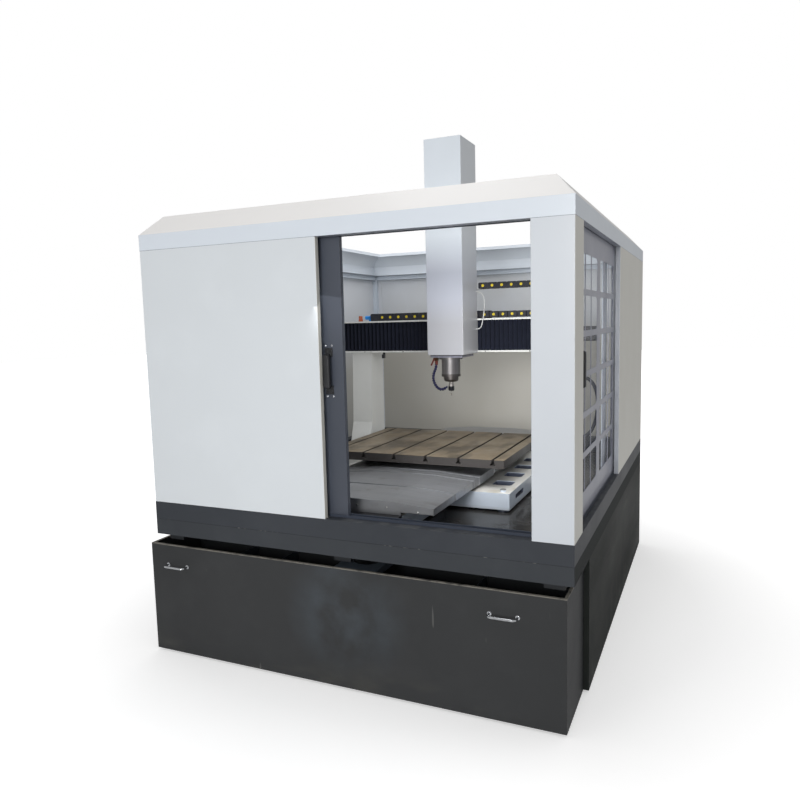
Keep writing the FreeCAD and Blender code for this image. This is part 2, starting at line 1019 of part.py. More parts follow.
def tank_handle(x):
    """Chromed bow handle, level, on the front of the tank."""
    half = tank_handle_spacing / 2.0
    reach = tank_front - tank_handle_reach
    points = [
        V(x - half, tank_front, tank_handle_height),
        V(x - half, reach, tank_handle_height),
        V(x + half, reach, tank_handle_height),
        V(x + half, tank_front, tank_handle_height),
    ]
    return round_tube(points, V(0, 0, 1), tank_handle_radius, handle_sides)


runner_z1 = tank_rim_z - runner_drop
runner_z0 = runner_z1 - runner_height


def runner(x):
    """Bar on the back of the tank that slides in its channel."""
    return block(x, x + runner_width, tank_back, tank_back + runner_length, runner_z0, runner_z1)


def runner_channel(x):
    """Channel that holds a runner, hung on plates from the first two rows of cross beams."""
    floor = runner_z0 - glide_gap
    left = x - runner_play
    right = x + runner_width + runner_play
    path = [(left, runner_z1), (left, floor), (right, floor), (right, runner_z1)]
    pieces = [along_y(folded(path, -heavy_sheet), cross_rows[0], cross_rows[1] + leg_size)]
    for y in cross_rows[:2]:
        near = left - 2.0 * heavy_sheet
        pieces.append(block(near, near + heavy_sheet, y, y + leg_size, floor - heavy_sheet, beam_z0))
    return fused(pieces)


runner_places = (runner_inset, body_width - runner_inset)
handle_places = (tank_offset + tank_handle_left, tank_right - tank_handle_right)
save("tank_shell", group([tank_shell()] + [runner(x) for x in runner_places]))
save("tank_baffles", group([tank_baffles(), strainer_plate()]))
save("coolant_pump", coolant_pump())
save("tank_handles", group([tank_handle(x) for x in handle_places]))
save("runner_channels", group([runner_channel(x) for x in runner_places]))

# ---------------------------------------------------------------- bed

bed_left = bed_middle - bed_width / 2.0
bed_right = bed_middle + bed_width / 2.0
bed_bottom = z_floor + pad_height
bed_back = bed_front + bed_length
rail_places = (bed_middle - rail_offset, bed_middle + rail_offset)


def bed_casting():
    """Cast bed: a broad plinth with cored holes and two machined ways, and a narrow nose each way."""
    half = nose_width / 2.0
    nose = block(bed_middle - half, bed_middle + half, nose_front, nose_back, bed_bottom, bed_top)
    plinth = block(bed_left, bed_right, bed_front, bed_back, bed_bottom, bed_top)
    plinth = rounded(plinth, bed_corner, lambda edge: is_along(edge, 2))
    bed = plinth.fuse(nose)
    rise = way_top - bed_top
    for x in rail_places:
        low = way_width / 2.0 + rise
        high = way_width / 2.0
        outline = [(x - low, bed_top), (x + low, bed_top), (x + high, way_top), (x - high, way_top)]
        bed = bed.fuse(along_y(outline, bed_front + core_hole_radius, bed_back - core_hole_radius))
    trough = trough_width / 2.0
    trough_cut = block(
        bed_middle - trough, bed_middle + trough, nose_front - 1.0, nose_back + 1.0, trough_floor, way_top
    )
    return bed.cut(trough_cut).cut(group(core_holes() + bed_slots())).removeSplitter()


def core_holes():
    """Rounded square holes that lighten the plinth, in a row each side."""
    holes = []
    half = core_hole / 2.0
    for side in (-1.0, 1.0):
        x = bed_middle + side * core_hole_offset
        for row in range(core_hole_rows):
            y = core_hole_first + row * core_hole_pitch
            if y + half > bed_back:
                continue
            hole = block(x - half, x + half, y - half, y + half, bed_bottom + heavy_sheet, bed_top + 1.0)
            holes.append(rounded(hole, core_hole_radius, lambda edge: is_along(edge, 2)))
    return holes


def bed_slots():
    """Long slots in the plinth's two flanks, level with the first pair of holes."""
    slots = []
    y0 = core_hole_first - core_hole / 2.0 - bed_slot_length / 3.0
    z0 = bed_bottom + bed_slot_rise
    depth = bed_width / 2.0 - core_hole_offset - core_hole / 2.0
    for x0 in (bed_left - 1.0, bed_right - depth):
        slot = block(x0, x0 + depth + 1.0, y0, y0 + bed_slot_length, z0, z0 + bed_slot_height)
        slots.append(rounded(slot, bed_slot_height / 2.0 - 0.5, lambda edge: is_along(edge, 0)))
    return slots


def jack_bolts():
    """Round pads under the plinth's corners, each with a hex-headed jack bolt beside it."""
    pieces = []
    inset = pad_radius * 1.4
    for x in (bed_left + inset, bed_right - inset):
        for y in (bed_front + inset, bed_back - inset):
            pieces.append(bar_z(x, y, z_floor, bed_bottom, pad_radius))
            corners = []
            for step in range(6):
                angle = step * math.pi / 3.0
                reach = pad_radius / 2.0
                corners.append((x + reach * math.cos(angle), y + reach * math.sin(angle)))
            pieces.append(along_z(corners, bed_top, bed_top + pad_height))
    return group(pieces)


def rail_outline(middle, base, width, height, sign):
    """Section of a guide rail: its waist is drawn in. Sign 1 stands it up."""
    half = width / 2.0
    waist = half - rail_waist
    steps = [(half, 0.0), (half, 0.3), (waist, 0.45), (waist, 0.6), (half, 0.75), (half, 1.0)]
    side = [(middle + u, base + sign * height * v) for u, v in steps]
    other = [(middle - u, base + sign * height * v) for u, v in steps[::-1]]
    return side + other


def carriage_outline(middle, base, width, height, clear, rail_w, rail_h, sign):
    """Section of a bearing block that wraps the head of a rail with a small gap."""
    half = width / 2.0
    gap = rail_w / 2.0 + rail_play
    top = rail_h + rail_play
    steps = [(-half, clear), (-gap, clear), (-gap, top), (gap, top), (gap, clear), (half, clear)]
    steps += [(half, clear + height), (-half, clear + height)]
    return [(middle + u, base + sign * v) for u, v in steps]


def y_rail(x):
    outline = rail_outline(x, way_top, rail_width, rail_height, 1.0)
    return along_y(outline, bed_front + core_hole_radius, bed_back - core_hole_radius)


# ---------------------------------------------------------------- table and saddle

saddle_front = table_middle - saddle_length / 2.0
saddle_back = table_middle + saddle_length / 2.0
saddle_bottom = way_top + block_clear + block_height


def t_slot_table():
    """Cast table with slots cut along its whole length."""
    left = bed_middle - table_width / 2.0
    table = block(left, left + table_width, table_front, table_front + table_length, table_bottom, table_top)
    table = rounded(table, 6.0, lambda edge: is_along(edge, 2))
    neck = slot_neck / 2.0
    foot = slot_foot / 2.0
    neck_z = table_top - slot_neck_depth
    foot_z = neck_z - slot_foot_height
    first = bed_middle - table_slot_pitch * (table_slot_count - 1) / 2.0
    cuts = []
    for index in range(table_slot_count):
        x = first + index * table_slot_pitch
        outline = [
            (x - neck, table_top + 1.0),
            (x - neck, neck_z),
            (x - foot, neck_z),
            (x - foot, foot_z),
            (x + foot, foot_z),
            (x + foot, neck_z),
            (x + neck, neck_z),
            (x + neck, table_top + 1.0),
        ]
        cuts.append(along_y(outline, table_front - 1.0, table_front + table_length + 1.0))
    return table.cut(group(cuts))


def table_saddle():
    """Cast saddle: a plate with a skirt each side and the screw nut's housing under it."""
    half = saddle_width / 2.0
    inner = half - saddle_cheek
    low = saddle_bottom - saddle_skirt
    outline = [
        (-half, low),
        (-inner, low),
        (-inner, saddle_bottom),
        (inner, saddle_bottom),
        (inner, low),
        (half, low),
        (half, table_bottom),
        (-half, table_bottom),
    ]
    body = along_y([(bed_middle + x, z) for x, z in outline], saddle_front, saddle_back)
    nut_half = y_screw_radius * 2.4
    nut_y = table_middle - nut_half
    housing = block(
        bed_middle - nut_half,
        bed_middle + nut_half,
        nut_y,
        nut_y + 2.0 * nut_half,
        y_screw_z - y_screw_radius * 1.6,
        saddle_bottom,
    )
    bore = bar_y(bed_middle, y_screw_z, nut_y - 1.0, nut_y + 2.0 * nut_half + 1.0, y_screw_radius + screw_play)
    return fused([body, housing]).cut(bore)


def block_starts():
    """Where the saddle's four bearing blocks begin along the rails."""
    return (saddle_front + 10.0, saddle_back - 10.0 - block_length)


def y_blocks():
    pieces = []
    for x in rail_places:
        outline = carriage_outline(
            x, way_top, block_width, block_height, block_clear, rail_width, rail_height, 1.0
        )
        for y in block_starts():
            pieces.append(along_y(outline, y, y + block_length))
    return group(pieces)


save("t_slot_table", t_slot_table())
save("table_saddle", group([table_saddle(), y_blocks()]))

# ---------------------------------------------------------------- Y screw, its supports and motor

y_screw_front = motor_box_front + heavy_sheet + motor_length
y_support_front = nose_front + screw_support
y_support_back = bed_back - screw_support


def y_screw():
    """Ball screw with a clamp coupling turned on its front end."""
    coupling_end = y_screw_front + rail_play + screw_support
    screw = bar_y(bed_middle, y_screw_z, y_screw_front + rail_play, y_support_back + screw_support, y_screw_radius)
    clamp = bar_y(bed_middle, y_screw_z, y_screw_front + rail_play, coupling_end, y_screw_radius * 1.5)
    return fused([screw, clamp])


def screw_support_block(y):
    """Bearing housing that stands in the trough and carries the screw."""
    half = y_screw_radius * 2.2
    housing = block(
        bed_middle - half, bed_middle + half, y, y + screw_support, trough_floor, y_screw_z + y_screw_radius * 2.0
    )
    bore = bar_y(bed_middle, y_screw_z, y - 1.0, y + screw_support + 1.0, y_screw_radius + screw_play)
    return housing.cut(bore)


cover_end_front = nose_front - cover_sheet


def y_motor_box():
    """Folded cover round the motor at the bed's front, open at its back."""
    left = bed_middle - motor_box_width / 2.0
    right = left + motor_box_width
    top = z_floor + motor_box_height
    outer = block(left, right, motor_box_front, cover_end_front, z_floor, top)
    inner = block(
        left + sheet, right - sheet, motor_box_front + sheet, cover_end_front + 1.0, z_floor - 1.0, top - sheet
    )
    return outer.cut(inner)


def y_motor():
    """Square servo motor on a foot that stands on the tray's floor."""
    half = motor_size / 2.0
    y0 = motor_box_front + heavy_sheet
    body = block(bed_middle - half, bed_middle + half, y0, y0 + motor_length, z_floor, y_screw_z + half)
    return rounded(body, half / 5.0, lambda edge: is_along(edge, 1) and edge.BoundBox.ZMin > z_floor + 1.0)


y_supports = [screw_support_block(y) for y in (y_support_front, y_support_back)]
save("bed_casting", group([bed_casting(), jack_bolts()] + y_supports))
save("y_screw", y_screw())
save("y_motor_box", y_motor_box())

# ---------------------------------------------------------------- telescopic way covers


def cover_outline(level):
    """Section of one length of way cover. Each level wraps over the one before it."""
    rise = level * (cover_sheet + cover_gap)
    half = cover_half_width + rise
    crown = cover_crown + rise
    path = [
        (half, cover_skirt),
        (half, crown - cover_fall),
        (cover_flat, crown),
        (-cover_flat, crown),
        (-half, crown - cover_fall),
        (-half, cover_skirt),
    ]
    return [(bed_middle + x, z) for x, z in folded(path, cover_sheet)]


def cover_end(y0, foot_y0, foot_y1):
    """End plate that closes the smallest length and is screwed to the end of the bed's nose."""
    half = cover_half_width - cover_sheet
    crown = cover_crown - cover_sheet
    foot = nose_width / 2.0
    outline = [
        (half, cover_skirt),
        (half, crown - cover_fall),
        (cover_flat, crown),
        (-cover_flat, crown),
        (-half, crown - cover_fall),
        (-half, cover_skirt),
        (-foot, cover_skirt),
        (-foot, trough_floor),
        (foot, trough_floor),
        (foot, cover_skirt),
    ]
    plate = along_y([(bed_middle + x, z) for x, z in outline], y0, y0 + cover_sheet)
    shaft = bar_y(bed_middle, y_screw_z, foot_y0, foot_y1, y_screw_radius * 1.6)
    return plate.cut(shaft)


def cover_piece(level, y0, length):
    return along_y(cover_outline(level), y0, y0 + length)


def front_cover(level):
    """A length of the front cover. The last one ends at the saddle."""
    start = front_cover_places[level]
    lengths = front_cover_lengths + (saddle_front - front_cover_places[-1],)
    return cover_piece(level, start, lengths[level])


rear_pitch = (cover_back - saddle_back - rear_cover_length) / 3.0


def rear_cover(level):
    """A length of the rear cover. The first one is fixed and the last one starts at the saddle."""
    return cover_piece(level, cover_back - level * rear_pitch - rear_cover_length, rear_cover_length)


front_end = cover_end(cover_end_front, cover_end_front - 1.0, nose_front + 1.0)
rear_end = cover_end(nose_back, nose_back - 1.0, nose_back + cover_sheet + 1.0)
save("fixed_way_covers", group([fused([front_cover(0), front_end]), fused([rear_cover(0), rear_end])]))
save("front_cover_2", front_cover(1))
save("front_cover_3", front_cover(2))
save("rear_cover_2", rear_cover(1))
save("rear_cover_3", rear_cover(2))
save("table_way_covers", group([front_cover(3), rear_cover(3)]))

# ---------------------------------------------------------------- gantry columns and beam


def gantry_column():
    """Cast column that flares forward at its foot, on a bolted base plate."""
    back = column_front + column_depth
    foot_top = z_floor + column_foot_rise
    outline = [
        (column_front - column_foot_reach, z_floor + column_plate),
        (back, z_floor + column_plate),
        (back, column_top),
        (column_front, column_top),
        (column_front - column_foot_reach / 6.0, foot_top),
    ]
    right = column_left + column_width
    column = along_x(outline, column_left, right)
    plate = block(
        column_left - column_plate_margin,
        right,
        column_front - column_foot_reach - column_plate_margin,
        back + column_plate_margin,
        z_floor,
        z_floor + column_plate,
    )
    return fused([column, plate])


def column_bolts():
    """Hex heads on the outer edge of both base plates."""
    pieces = []
    x = column_left - column_plate_margin / 2.0
    front = column_front - column_foot_reach
    back = column_front + column_depth
    for y in (front, (front + back) / 2.0, back):
        corners = []
        for step in range(6):
            angle = step * math.pi / 3.0
            corners.append((x + column_bolt_radius * math.cos(angle), y + column_bolt_radius * math.sin(angle)))
        top = z_floor + column_plate
        bolt = along_z(corners, top, top + column_bolt_radius)
        pieces.append(bolt)
        pieces.append(across(bolt))
    return group(pieces)


recess_back = beam_front + beam_recess
x_screw_y = recess_back - x_screw_radius - 5.0


def gantry_beam():
    """Cast box beam with a recess along its front for the rails and the screw."""
    beam = block(beam_left, beam_right, beam_front, beam_back, column_top, beam_top)
    recess = block(
        beam_left + beam_lip,
        beam_right - beam_lip,
        beam_front - 1.0,
        recess_back,
        column_top + beam_lip,
        beam_top - beam_lip,
    )
    recess = rounded(recess, 2.0, lambda edge: is_along(edge, 1))
    core = block(
        beam_left + beam_wall,
        beam_right - beam_wall,
        recess_back + beam_wall,
        beam_back - beam_wall,
        column_top + beam_wall,
        beam_top - beam_wall,
    )
    journal = bar_x(x_screw_y, beam_middle_z, beam_right - beam_lip - 1.0, beam_right + 1.0, x_screw_radius * 1.5)
    return beam.cut(recess).cut(core).cut(journal)


def x_rail(z):
    outline = rail_outline(z, recess_back, x_rail_width, x_rail_height, -1.0)
    swapped = [(y, height) for height, y in outline]
    return along_x(swapped, beam_left + beam_lip + 1.0, beam_right - beam_lip - 1.0)


x_rail_heights = (beam_middle_z - x_rail_offset, beam_middle_z + x_rail_offset)
x_support_length = 20.0
x_support_places = (beam_left + beam_lip, beam_right - beam_lip - x_support_length)


def x_screw_support(x):
    """Bearing housing at one end of the recess."""
    half = x_screw_radius * 2.0
    housing = block(
        x, x + x_support_length, x_screw_y - half / 1.2, recess_back, beam_middle_z - half, beam_middle_z + half
    )
    bore = bar_x(x_screw_y, beam_middle_z, x - 1.0, x + x_support_length + 1.0, x_screw_radius + screw_play)
    return housing.cut(bore)


def x_motor():
    """Servo motor on the beam's right end, turned about the screw's axis."""
    half = x_motor_size / 2.0
    body = block(
        beam_right,
        beam_right + x_motor_length,
        x_screw_y - half,
        x_screw_y + half,
        beam_middle_z - half,
        beam_middle_z + half,
    )
    return rounded(body, half / 5.0, lambda edge: is_along(edge, 0))


left_column = gantry_column()
save("gantry_columns", group([across(left_column), left_column, column_bolts()]))
save("gantry_beam", group([gantry_beam()] + [x_screw_support(x) for x in x_support_places]))
save("guide_rails", group([y_rail(x) for x in rail_places] + [x_rail(z) for z in x_rail_heights]))
save("axis_motors", group([x_motor(), y_motor()]))
save(
    "x_screw",
    bar_x(x_screw_y, beam_middle_z, beam_left + beam_lip + glide_gap, beam_right - glide_gap, x_screw_radius),
)

# ---------------------------------------------------------------- X carriage

box_left = carriage_x - z_box_width / 2.0
box_right = carriage_x + z_box_width / 2.0
x_block_front = recess_back - x_block_clear - x_block_height


def x_saddle():
    """Carriage plate that fills the gap between the beam's lips, with the nut bracket behind."""
    gap = beam_lip + sheet
    plate = block(box_left, box_right, z_box_back, x_block_front, column_top + gap, beam_top - gap)
    half = x_screw_radius * 1.75
    nut = block(
        carriage_x - half * 2.0,
        carriage_x + half * 2.0,
        x_block_front,
        recess_back - sheet,
        beam_middle_z - half,
        beam_middle_z + half,
    )
    bore = bar_x(x_screw_y, beam_middle_z, box_left, box_right, x_screw_radius + screw_play)
    return fused([plate, nut]).cut(bore)


def x_blocks():
    pieces = []
    for z in x_rail_heights:
        outline = carriage_outline(
            z, recess_back, x_block_width, x_block_height, x_block_clear, x_rail_width, x_rail_height, -1.0
        )
        swapped = [(y, height) for height, y in outline]
        for x in (box_left + 6.0, box_right - 6.0 - x_block_length):
            pieces.append(along_x(swapped, x, x + x_block_length))
    return group(pieces)


def z_column():
    """Cast back of the Z axis with a shelf for its motor near the top."""
    back = block(
        box_left + sheet, box_right - sheet, z_column_front, z_box_back, z_box_bottom, z_box_top - sheet
    )
    shelf = block(
        carriage_x - ram_size / 2.0,
        carriage_x + ram_size / 2.0,
        spindle_y - ram_size / 2.0,
        z_column_front,
        z_motor_shelf - ram_wall,
        z_motor_shelf,
    )
    bore = bar_z(
        carriage_x, spindle_y, z_motor_shelf - ram_wall - 1.0, z_motor_shelf + 1.0, z_screw_radius + screw_play
    )
    return fused([back, shelf]).cut(bore)


def z_cover():
    """Folded cover of the Z axis, closed on top, open at its back and underneath."""
    outer = block(box_left, box_right, z_box_front, z_box_back, z_box_bottom, z_box_top)
    outer = rounded(outer, 3.0, lambda edge: is_along(edge, 2) and edge.BoundBox.YMax < z_box_front + 1.0)
    inner = block(
        box_left + sheet,
        box_right - sheet,
        z_box_front + sheet,
        z_box_back + 1.0,
        z_box_bottom - 1.0,
        z_box_top - sheet,
    )
    return outer.cut(inner)


def z_rail(x):
    outline = rail_outline(x, z_column_front, z_rail_width, z_rail_height, -1.0)
    return along_z(outline, z_rail_bottom, z_rail_top)


z_rail_places = (carriage_x - z_rail_offset, carriage_x + z_rail_offset)
ram_front = spindle_y - ram_size / 2.0
ram_back = spindle_y + ram_size / 2.0
ram_left = carriage_x - ram_size / 2.0
ram_right = carriage_x + ram_size / 2.0
ram_bottom = z_box_bottom - spindle_plate_drop
z_block_height = z_column_front - z_block_clear - ram_back


def z_blocks():
    pieces = []
    for x in z_rail_places:
        outline = carriage_outline(
            x,
            z_column_front,
            z_block_width,
            z_block_height,
            z_block_clear,
            z_rail_width,
            z_rail_height,
            -1.0,
        )
        for z in z_block_places:
            pieces.append(along_z(outline, z, z + z_block_length))
    return group(pieces)


def z_motor():
    """Servo motor that stands on the shelf over the screw."""
    half = z_motor_size / 2.0
    body = block(
        carriage_x - half,
        carriage_x + half,
        spindle_y - half,
        spindle_y + half,
        z_motor_shelf,
        z_motor_shelf + z_motor_height,
    )
    return rounded(body, half / 5.0, lambda edge: is_along(edge, 2))


def chain_bracket():
    """Angle on the back of the Z axis whose shelf carries the moving end of the energy chain."""
    shelf = chain_upper_z - chain_inner_height / 2.0
    back = chain_front + chain_width
    path = [(z_box_back, shelf - bracket_height), (z_box_back, shelf), (back, shelf)]
    return along_x(folded(path, -bracket_thickness), box_right - bracket_width, box_right)


chain_upper_z = beam_top + chain_height / 2.0 + 2.0 * chain_loop_radius
chain_inner_height = chain_height - 2.0 * (chain_wall + chain_inner_gap)
save("x_saddle", group([x_saddle(), x_blocks()]))
save("z_column", group([z_column(), chain_bracket()] + [z_rail(x) for x in z_rail_places]))
save("z_cover", z_cover())
save("z_motor", z_motor())
save("z_screw", bar_z(carriage_x, spindle_y, z_screw_bottom, z_motor_shelf - glide_gap, z_screw_radius))

# ---------------------------------------------------------------- ram and spindle


def ram():
    """Square cast tube closed at its top by the screw's nut plate."""
    outer = block(ram_left, ram_right, ram_front, ram_back, ram_bottom, ram_top)
    inner = block(
        ram_left + ram_wall,
        ram_right - ram_wall,
        ram_front + ram_wall,
        ram_back - ram_wall,
        ram_bottom - 1.0,
        ram_top - 2.0 * ram_wall,
    )
    bore = bar_z(carriage_x, spindle_y, ram_top - 3.0 * ram_wall, ram_top + 1.0, z_screw_radius + screw_play)
    return outer.cut(inner).cut(bore)


def spindle_plate():
    """Square plate under the ram that the spindle hangs in."""
    top = ram_bottom
    low = top - spindle_plate_thickness
    half = spindle_plate_width / 2.0
    back = spindle_plate_front + spindle_plate_depth
    plate = block(carriage_x - half, carriage_x + half, spindle_plate_front, back, low, top)
    plate = rounded(plate, 6.0, lambda edge: is_along(edge, 2))
    return plate.cut(bar_z(carriage_x, spindle_y, low - 1.0, top + 1.0, spindle_radius + screw_play))


def turned(profile):
    """A solid turned about the spindle's axis from radius and height pairs."""
    corners = [V(carriage_x + r, spindle_y, z) for r, z in profile]
    face = Part.Face(Part.makePolygon(corners + corners[:1]))
    return face.revolve(V(carriage_x, spindle_y, 0), V(0, 0, 1), 360.0)


plate_bottom = ram_bottom - spindle_plate_thickness
flange_bottom = plate_bottom - spindle_flange
shaft_top = spindle_nose_top + 2.0 * shaft_radius
collet_top = nut_bottom + shaft_radius


def spindle_housing():
    """Turned steel cartridge: flange, barrel, relieved ring and rounded nose round the shaft's bore."""
    bore = shaft_radius + screw_play
    ring = spindle_radius + spindle_ring
    ring_top = spindle_nose_top + spindle_ring_height
    housing = turned(
        [
            (bore, spindle_nose_bottom),
            (spindle_nose_radius, spindle_nose_bottom),
            (spindle_nose_radius, spindle_nose_top),
            (ring, spindle_nose_top),
            (ring, ring_top - spindle_ring),
            (spindle_radius, ring_top),
            (spindle_radius, flange_bottom),
            (spindle_flange_radius, flange_bottom),
            (spindle_flange_radius, plate_bottom),
            (spindle_radius, plate_bottom),
            (spindle_radius, spindle_up),
            (0.0, spindle_up),
            (0.0, shaft_top + 1.0),
            (bore, shaft_top + 1.0),
        ]
    )
    nose = spindle_nose_bottom + 0.1
    return rounded(
        housing,
        spindle_nose_round,
        lambda edge: edge.BoundBox.ZMax < nose and edge.BoundBox.XLength > spindle_nose_radius,
    )


def spindle_shaft():
    """Shaft with the collet's bore in its lower end."""
    return turned(
        [
            (tool_radius + screw_play, collet_top),
            (shaft_radius, collet_top),
            (shaft_radius, shaft_top),
            (0.0, shaft_top),
            (0.0, collet_top + tool_shank / 2.0),
            (tool_radius + screw_play, collet_top + tool_shank / 2.0),
        ]
    )


def collet_nut():
    """Nut over the collet, with six flats milled in its rim."""
    nut = turned(
        [
            (tool_radius + screw_play, nut_bottom),
            (nut_radius - 3.0, nut_bottom),
            (nut_radius, nut_bottom + 4.0),
            (nut_radius, nut_top),
            (shaft_radius + sheet, nut_top + nut_cone),
            (shaft_radius + screw_play, nut_top + nut_cone),
            (shaft_radius + screw_play, collet_top),
            (tool_radius + screw_play, collet_top),
        ]
    )
    reach = nut_radius * 2.0
    flats = []
    for step in range(6):
        flat = block(
            carriage_x + nut_radius - 1.2,
            carriage_x + reach,
            spindle_y - reach,
            spindle_y + reach,
            nut_bottom + 6.0,
            nut_top - 4.0,
        )
        flat.rotate(V(carriage_x, spindle_y, 0), V(0, 0, 1), 60.0 * step)
        flats.append(flat)
    return nut.cut(group(flats))


def cutting_tool():
    """Round shank of an end mill, flat at its tip."""
    return turned(
        [
            (0.0, tool_tip),
            (tool_radius, tool_tip),
            (tool_radius, tool_tip + tool_shank),
            (0.0, tool_tip + tool_shank),
        ]
    )


save("z_ram", group([ram(), z_blocks(), spindle_plate()]))
save("spindle_housing", spindle_housing())
save("spindle_shaft", group([spindle_shaft(), collet_nut()]))
save("cutting_tool", cutting_tool())

# ---------------------------------------------------------------- coolant valve and jointed hose

valve_half = valve_size / 2.0
valve_bottom = plate_bottom - valve_height
valve_front = valve_y - valve_half
lever_x = valve_x - valve_half / 1.5
lever_z = plate_bottom - valve_height / 2.6
pin_length = 2.0 * lever_gap + lever_thickness + 2.0


def valve_body():
    """Square brass block screwed under the plate, with the lever's pin on its front."""
    body = block(
        valve_x - valve_half, valve_x + valve_half, valve_front, valve_y + valve_half, valve_bottom, plate_bottom
    )
    body = rounded(body, 2.0, lambda edge: is_along(edge, 2))
    return body.fuse(bar_y(lever_x, lever_z, valve_front - pin_length, valve_front, lever_pin_radius))


def valve_lever():
    """Flat lever with a round eye on the pin. It hangs down and to the left."""
    near = valve_front - lever_gap - lever_thickness
    far = valve_front - lever_gap
    half = lever_width / 2.0
    arm = block(lever_x - half, lever_x + half, near, far, lever_z - lever_length, lever_z)
    eye = bar_y(lever_x, lever_z, near, far, half * 1.4)
    hole = bar_y(lever_x, lever_z, near - 1.0, far + 1.0, lever_pin_radius + screw_play)
    lever = fused([arm, eye]).cut(hole)
    lever.rotate(V(lever_x, 0, lever_z), V(0, 1, 0), lever_angle)
    return lever


hose_route = [V(valve_x + x, valve_y, valve_bottom + z) for x, z in hose_bends]


def jointed_hose(points):
    """Snap-together hose: each joint flares to its full radius and nests in the next one's waist."""
    path = Part.makePolygon([place for place, heading in bow_stations(points)])
    places = path.discretize(Number=2 * hose_segments)
    rings = []
    for index, place in enumerate(places):
        heading = places[min(index + 1, len(places) - 1)] - places[max(index - 1, 0)]
        radius = hose_waist if index % 2 == 0 else hose_radius
        rings.append(facet_ring(place, heading, V(0, 1, 0), radius, cord_sides))
    return Part.makeLoft(rings, True, True)


save("coolant_valve", valve_body())
save("valve_lever", valve_lever())
save("coolant_hose", jointed_hose(hose_route))

# ---------------------------------------------------------------- bellows along the beam

bellows_front = beam_front + bellows_gap
bellows_z = (column_top + beam_lip + bellows_gap, beam_top - beam_lip - bellows_gap)


def bellows(x0, x1):
    """Folded fabric cover whose pleats stand across the beam."""
    pleats = round((x1 - x0) / bellows_pleat)
    half = (x1 - x0) / pleats / 2.0
    back = bellows_front + bellows_depth
    path = [(x0 + step * half, bellows_front if step % 2 == 0 else back) for step in range(2 * pleats + 1)]
    rear = [(x, y + bellows_fold_depth) for x, y in path[::-1]]
    return along_z(path + rear, *bellows_z)


save("bellows_left", bellows(beam_left + beam_lip + bellows_gap, box_left - bellows_gap))
save("bellows_right", bellows(box_right + bellows_gap, beam_right - beam_lip - bellows_gap))

# ---------------------------------------------------------------- energy chain

chain_middle_z = beam_top + chain_height / 2.0
chain_back = chain_front + chain_width
chain_inner_front = chain_front + chain_wall + chain_inner_gap
chain_inner_back = chain_back - chain_wall - chain_inner_gap


def chain_link(x0, x1, y0, y1, z0, z1):
    """One box-shaped link, open at both ends."""
    bore = block(x0 - 1.0, x1 + 1.0, y0 + chain_wall, y1 - chain_wall, z0 + chain_wall, z1 - chain_wall)
    return block(x0, x1, y0, y1, z0, z1).cut(bore)


def chain_run(x0, x1, count, y0, y1, middle, height):
    """A straight run of like links."""
    pitch = (x1 - x0) / count
    low = middle - height / 2.0
    high = middle + height / 2.0
    starts = [x0 + index * pitch for index in range(count)]
    return [chain_link(x, x + pitch - chain_seam, y0, y1, low, high) for x in starts]


def bend_outline(inner, outer, start, end):
    """Section of a link in the bend, between two radii and two angles from straight down."""
    middle = chain_middle_z + chain_loop_radius
    corners = [(inner, start), (outer, start), (outer, end), (inner, end)]
    return [(chain_loop_x + r * math.sin(a), middle - r * math.cos(a)) for r, a in corners]


def chain_bend():
    """The turned-over part of the chain, in links that each take an equal share of the half turn."""
    share = math.pi / chain_bend_links
    seam_angle = chain_seam / chain_loop_radius
    half = chain_inner_height / 2.0
    inner = chain_loop_radius - half
    outer = chain_loop_radius + half
    links = []
    for index in range(chain_bend_links):
        start = index * share
        end = start + share - seam_angle
        shell = along_y(bend_outline(inner, outer, start, end), chain_inner_front, chain_inner_back)
        bore = along_y(
            bend_outline(inner + chain_wall, outer - chain_wall, start - seam_angle, end + seam_angle),
            chain_inner_front + chain_wall,
            chain_inner_back - chain_wall,
        )
        links.append(shell.cut(bore))
    return links


chain_right = chain_left + chain_fixed_links * chain_pitch
loop_left = chain_loop_x - chain_inner_links * chain_pitch
lower_run = chain_run(
    chain_left, chain_right, chain_fixed_links, chain_front, chain_back, chain_middle_z, chain_height
)
inner_run = chain_run(
    loop_left,
    chain_loop_x,
    chain_inner_links,
    chain_inner_front,
    chain_inner_back,
    chain_middle_z,
    chain_inner_height,
)
upper_run = chain_run(
    box_right - chain_upper_lap,
    chain_loop_x,
    chain_upper_links,
    chain_inner_front,
    chain_inner_back,
    chain_upper_z,
    chain_inner_height,
)
save("energy_chain_lower", group(lower_run))
save("energy_chain_loop", group(inner_run + chain_bend()))
save("energy_chain_upper", group(upper_run))

# ---------------------------------------------------------------- fittings, conduit and air tube


def hexagon(x, y, radius):
    """Corners of a hexagon seen from above."""
    angles = [step * math.pi / 3.0 for step in range(6)]
    return [(x + radius * math.cos(angle), y + radius * math.sin(angle)) for angle in angles]


def straight_fitting():
    """Screwed connector that stands on the beam, with a hexagonal foot."""
    foot = along_z(hexagon(fitting_left_x, fitting_y, fitting_radius * 1.3), beam_top, beam_top + fitting_radius)
    body = bar_z(fitting_left_x, fitting_y, beam_top, beam_top + fitting_height, fitting_radius)
    return fused([foot, body])


def elbow_fitting():
    """Push-in elbow on the beam that points away from the chain."""
    foot = along_z(hexagon(fitting_right_x, fitting_y, fitting_radius * 1.2), beam_top, beam_top + fitting_radius)
    reach = fitting_right_x - fitting_height
    arm_z = beam_top + fitting_height - fitting_radius
    body = bar_z(fitting_right_x, fitting_y, beam_top, arm_z, fitting_radius)
    arm = bar_x(fitting_y, arm_z, reach, fitting_right_x, fitting_radius)
    return fused([foot, body, arm])


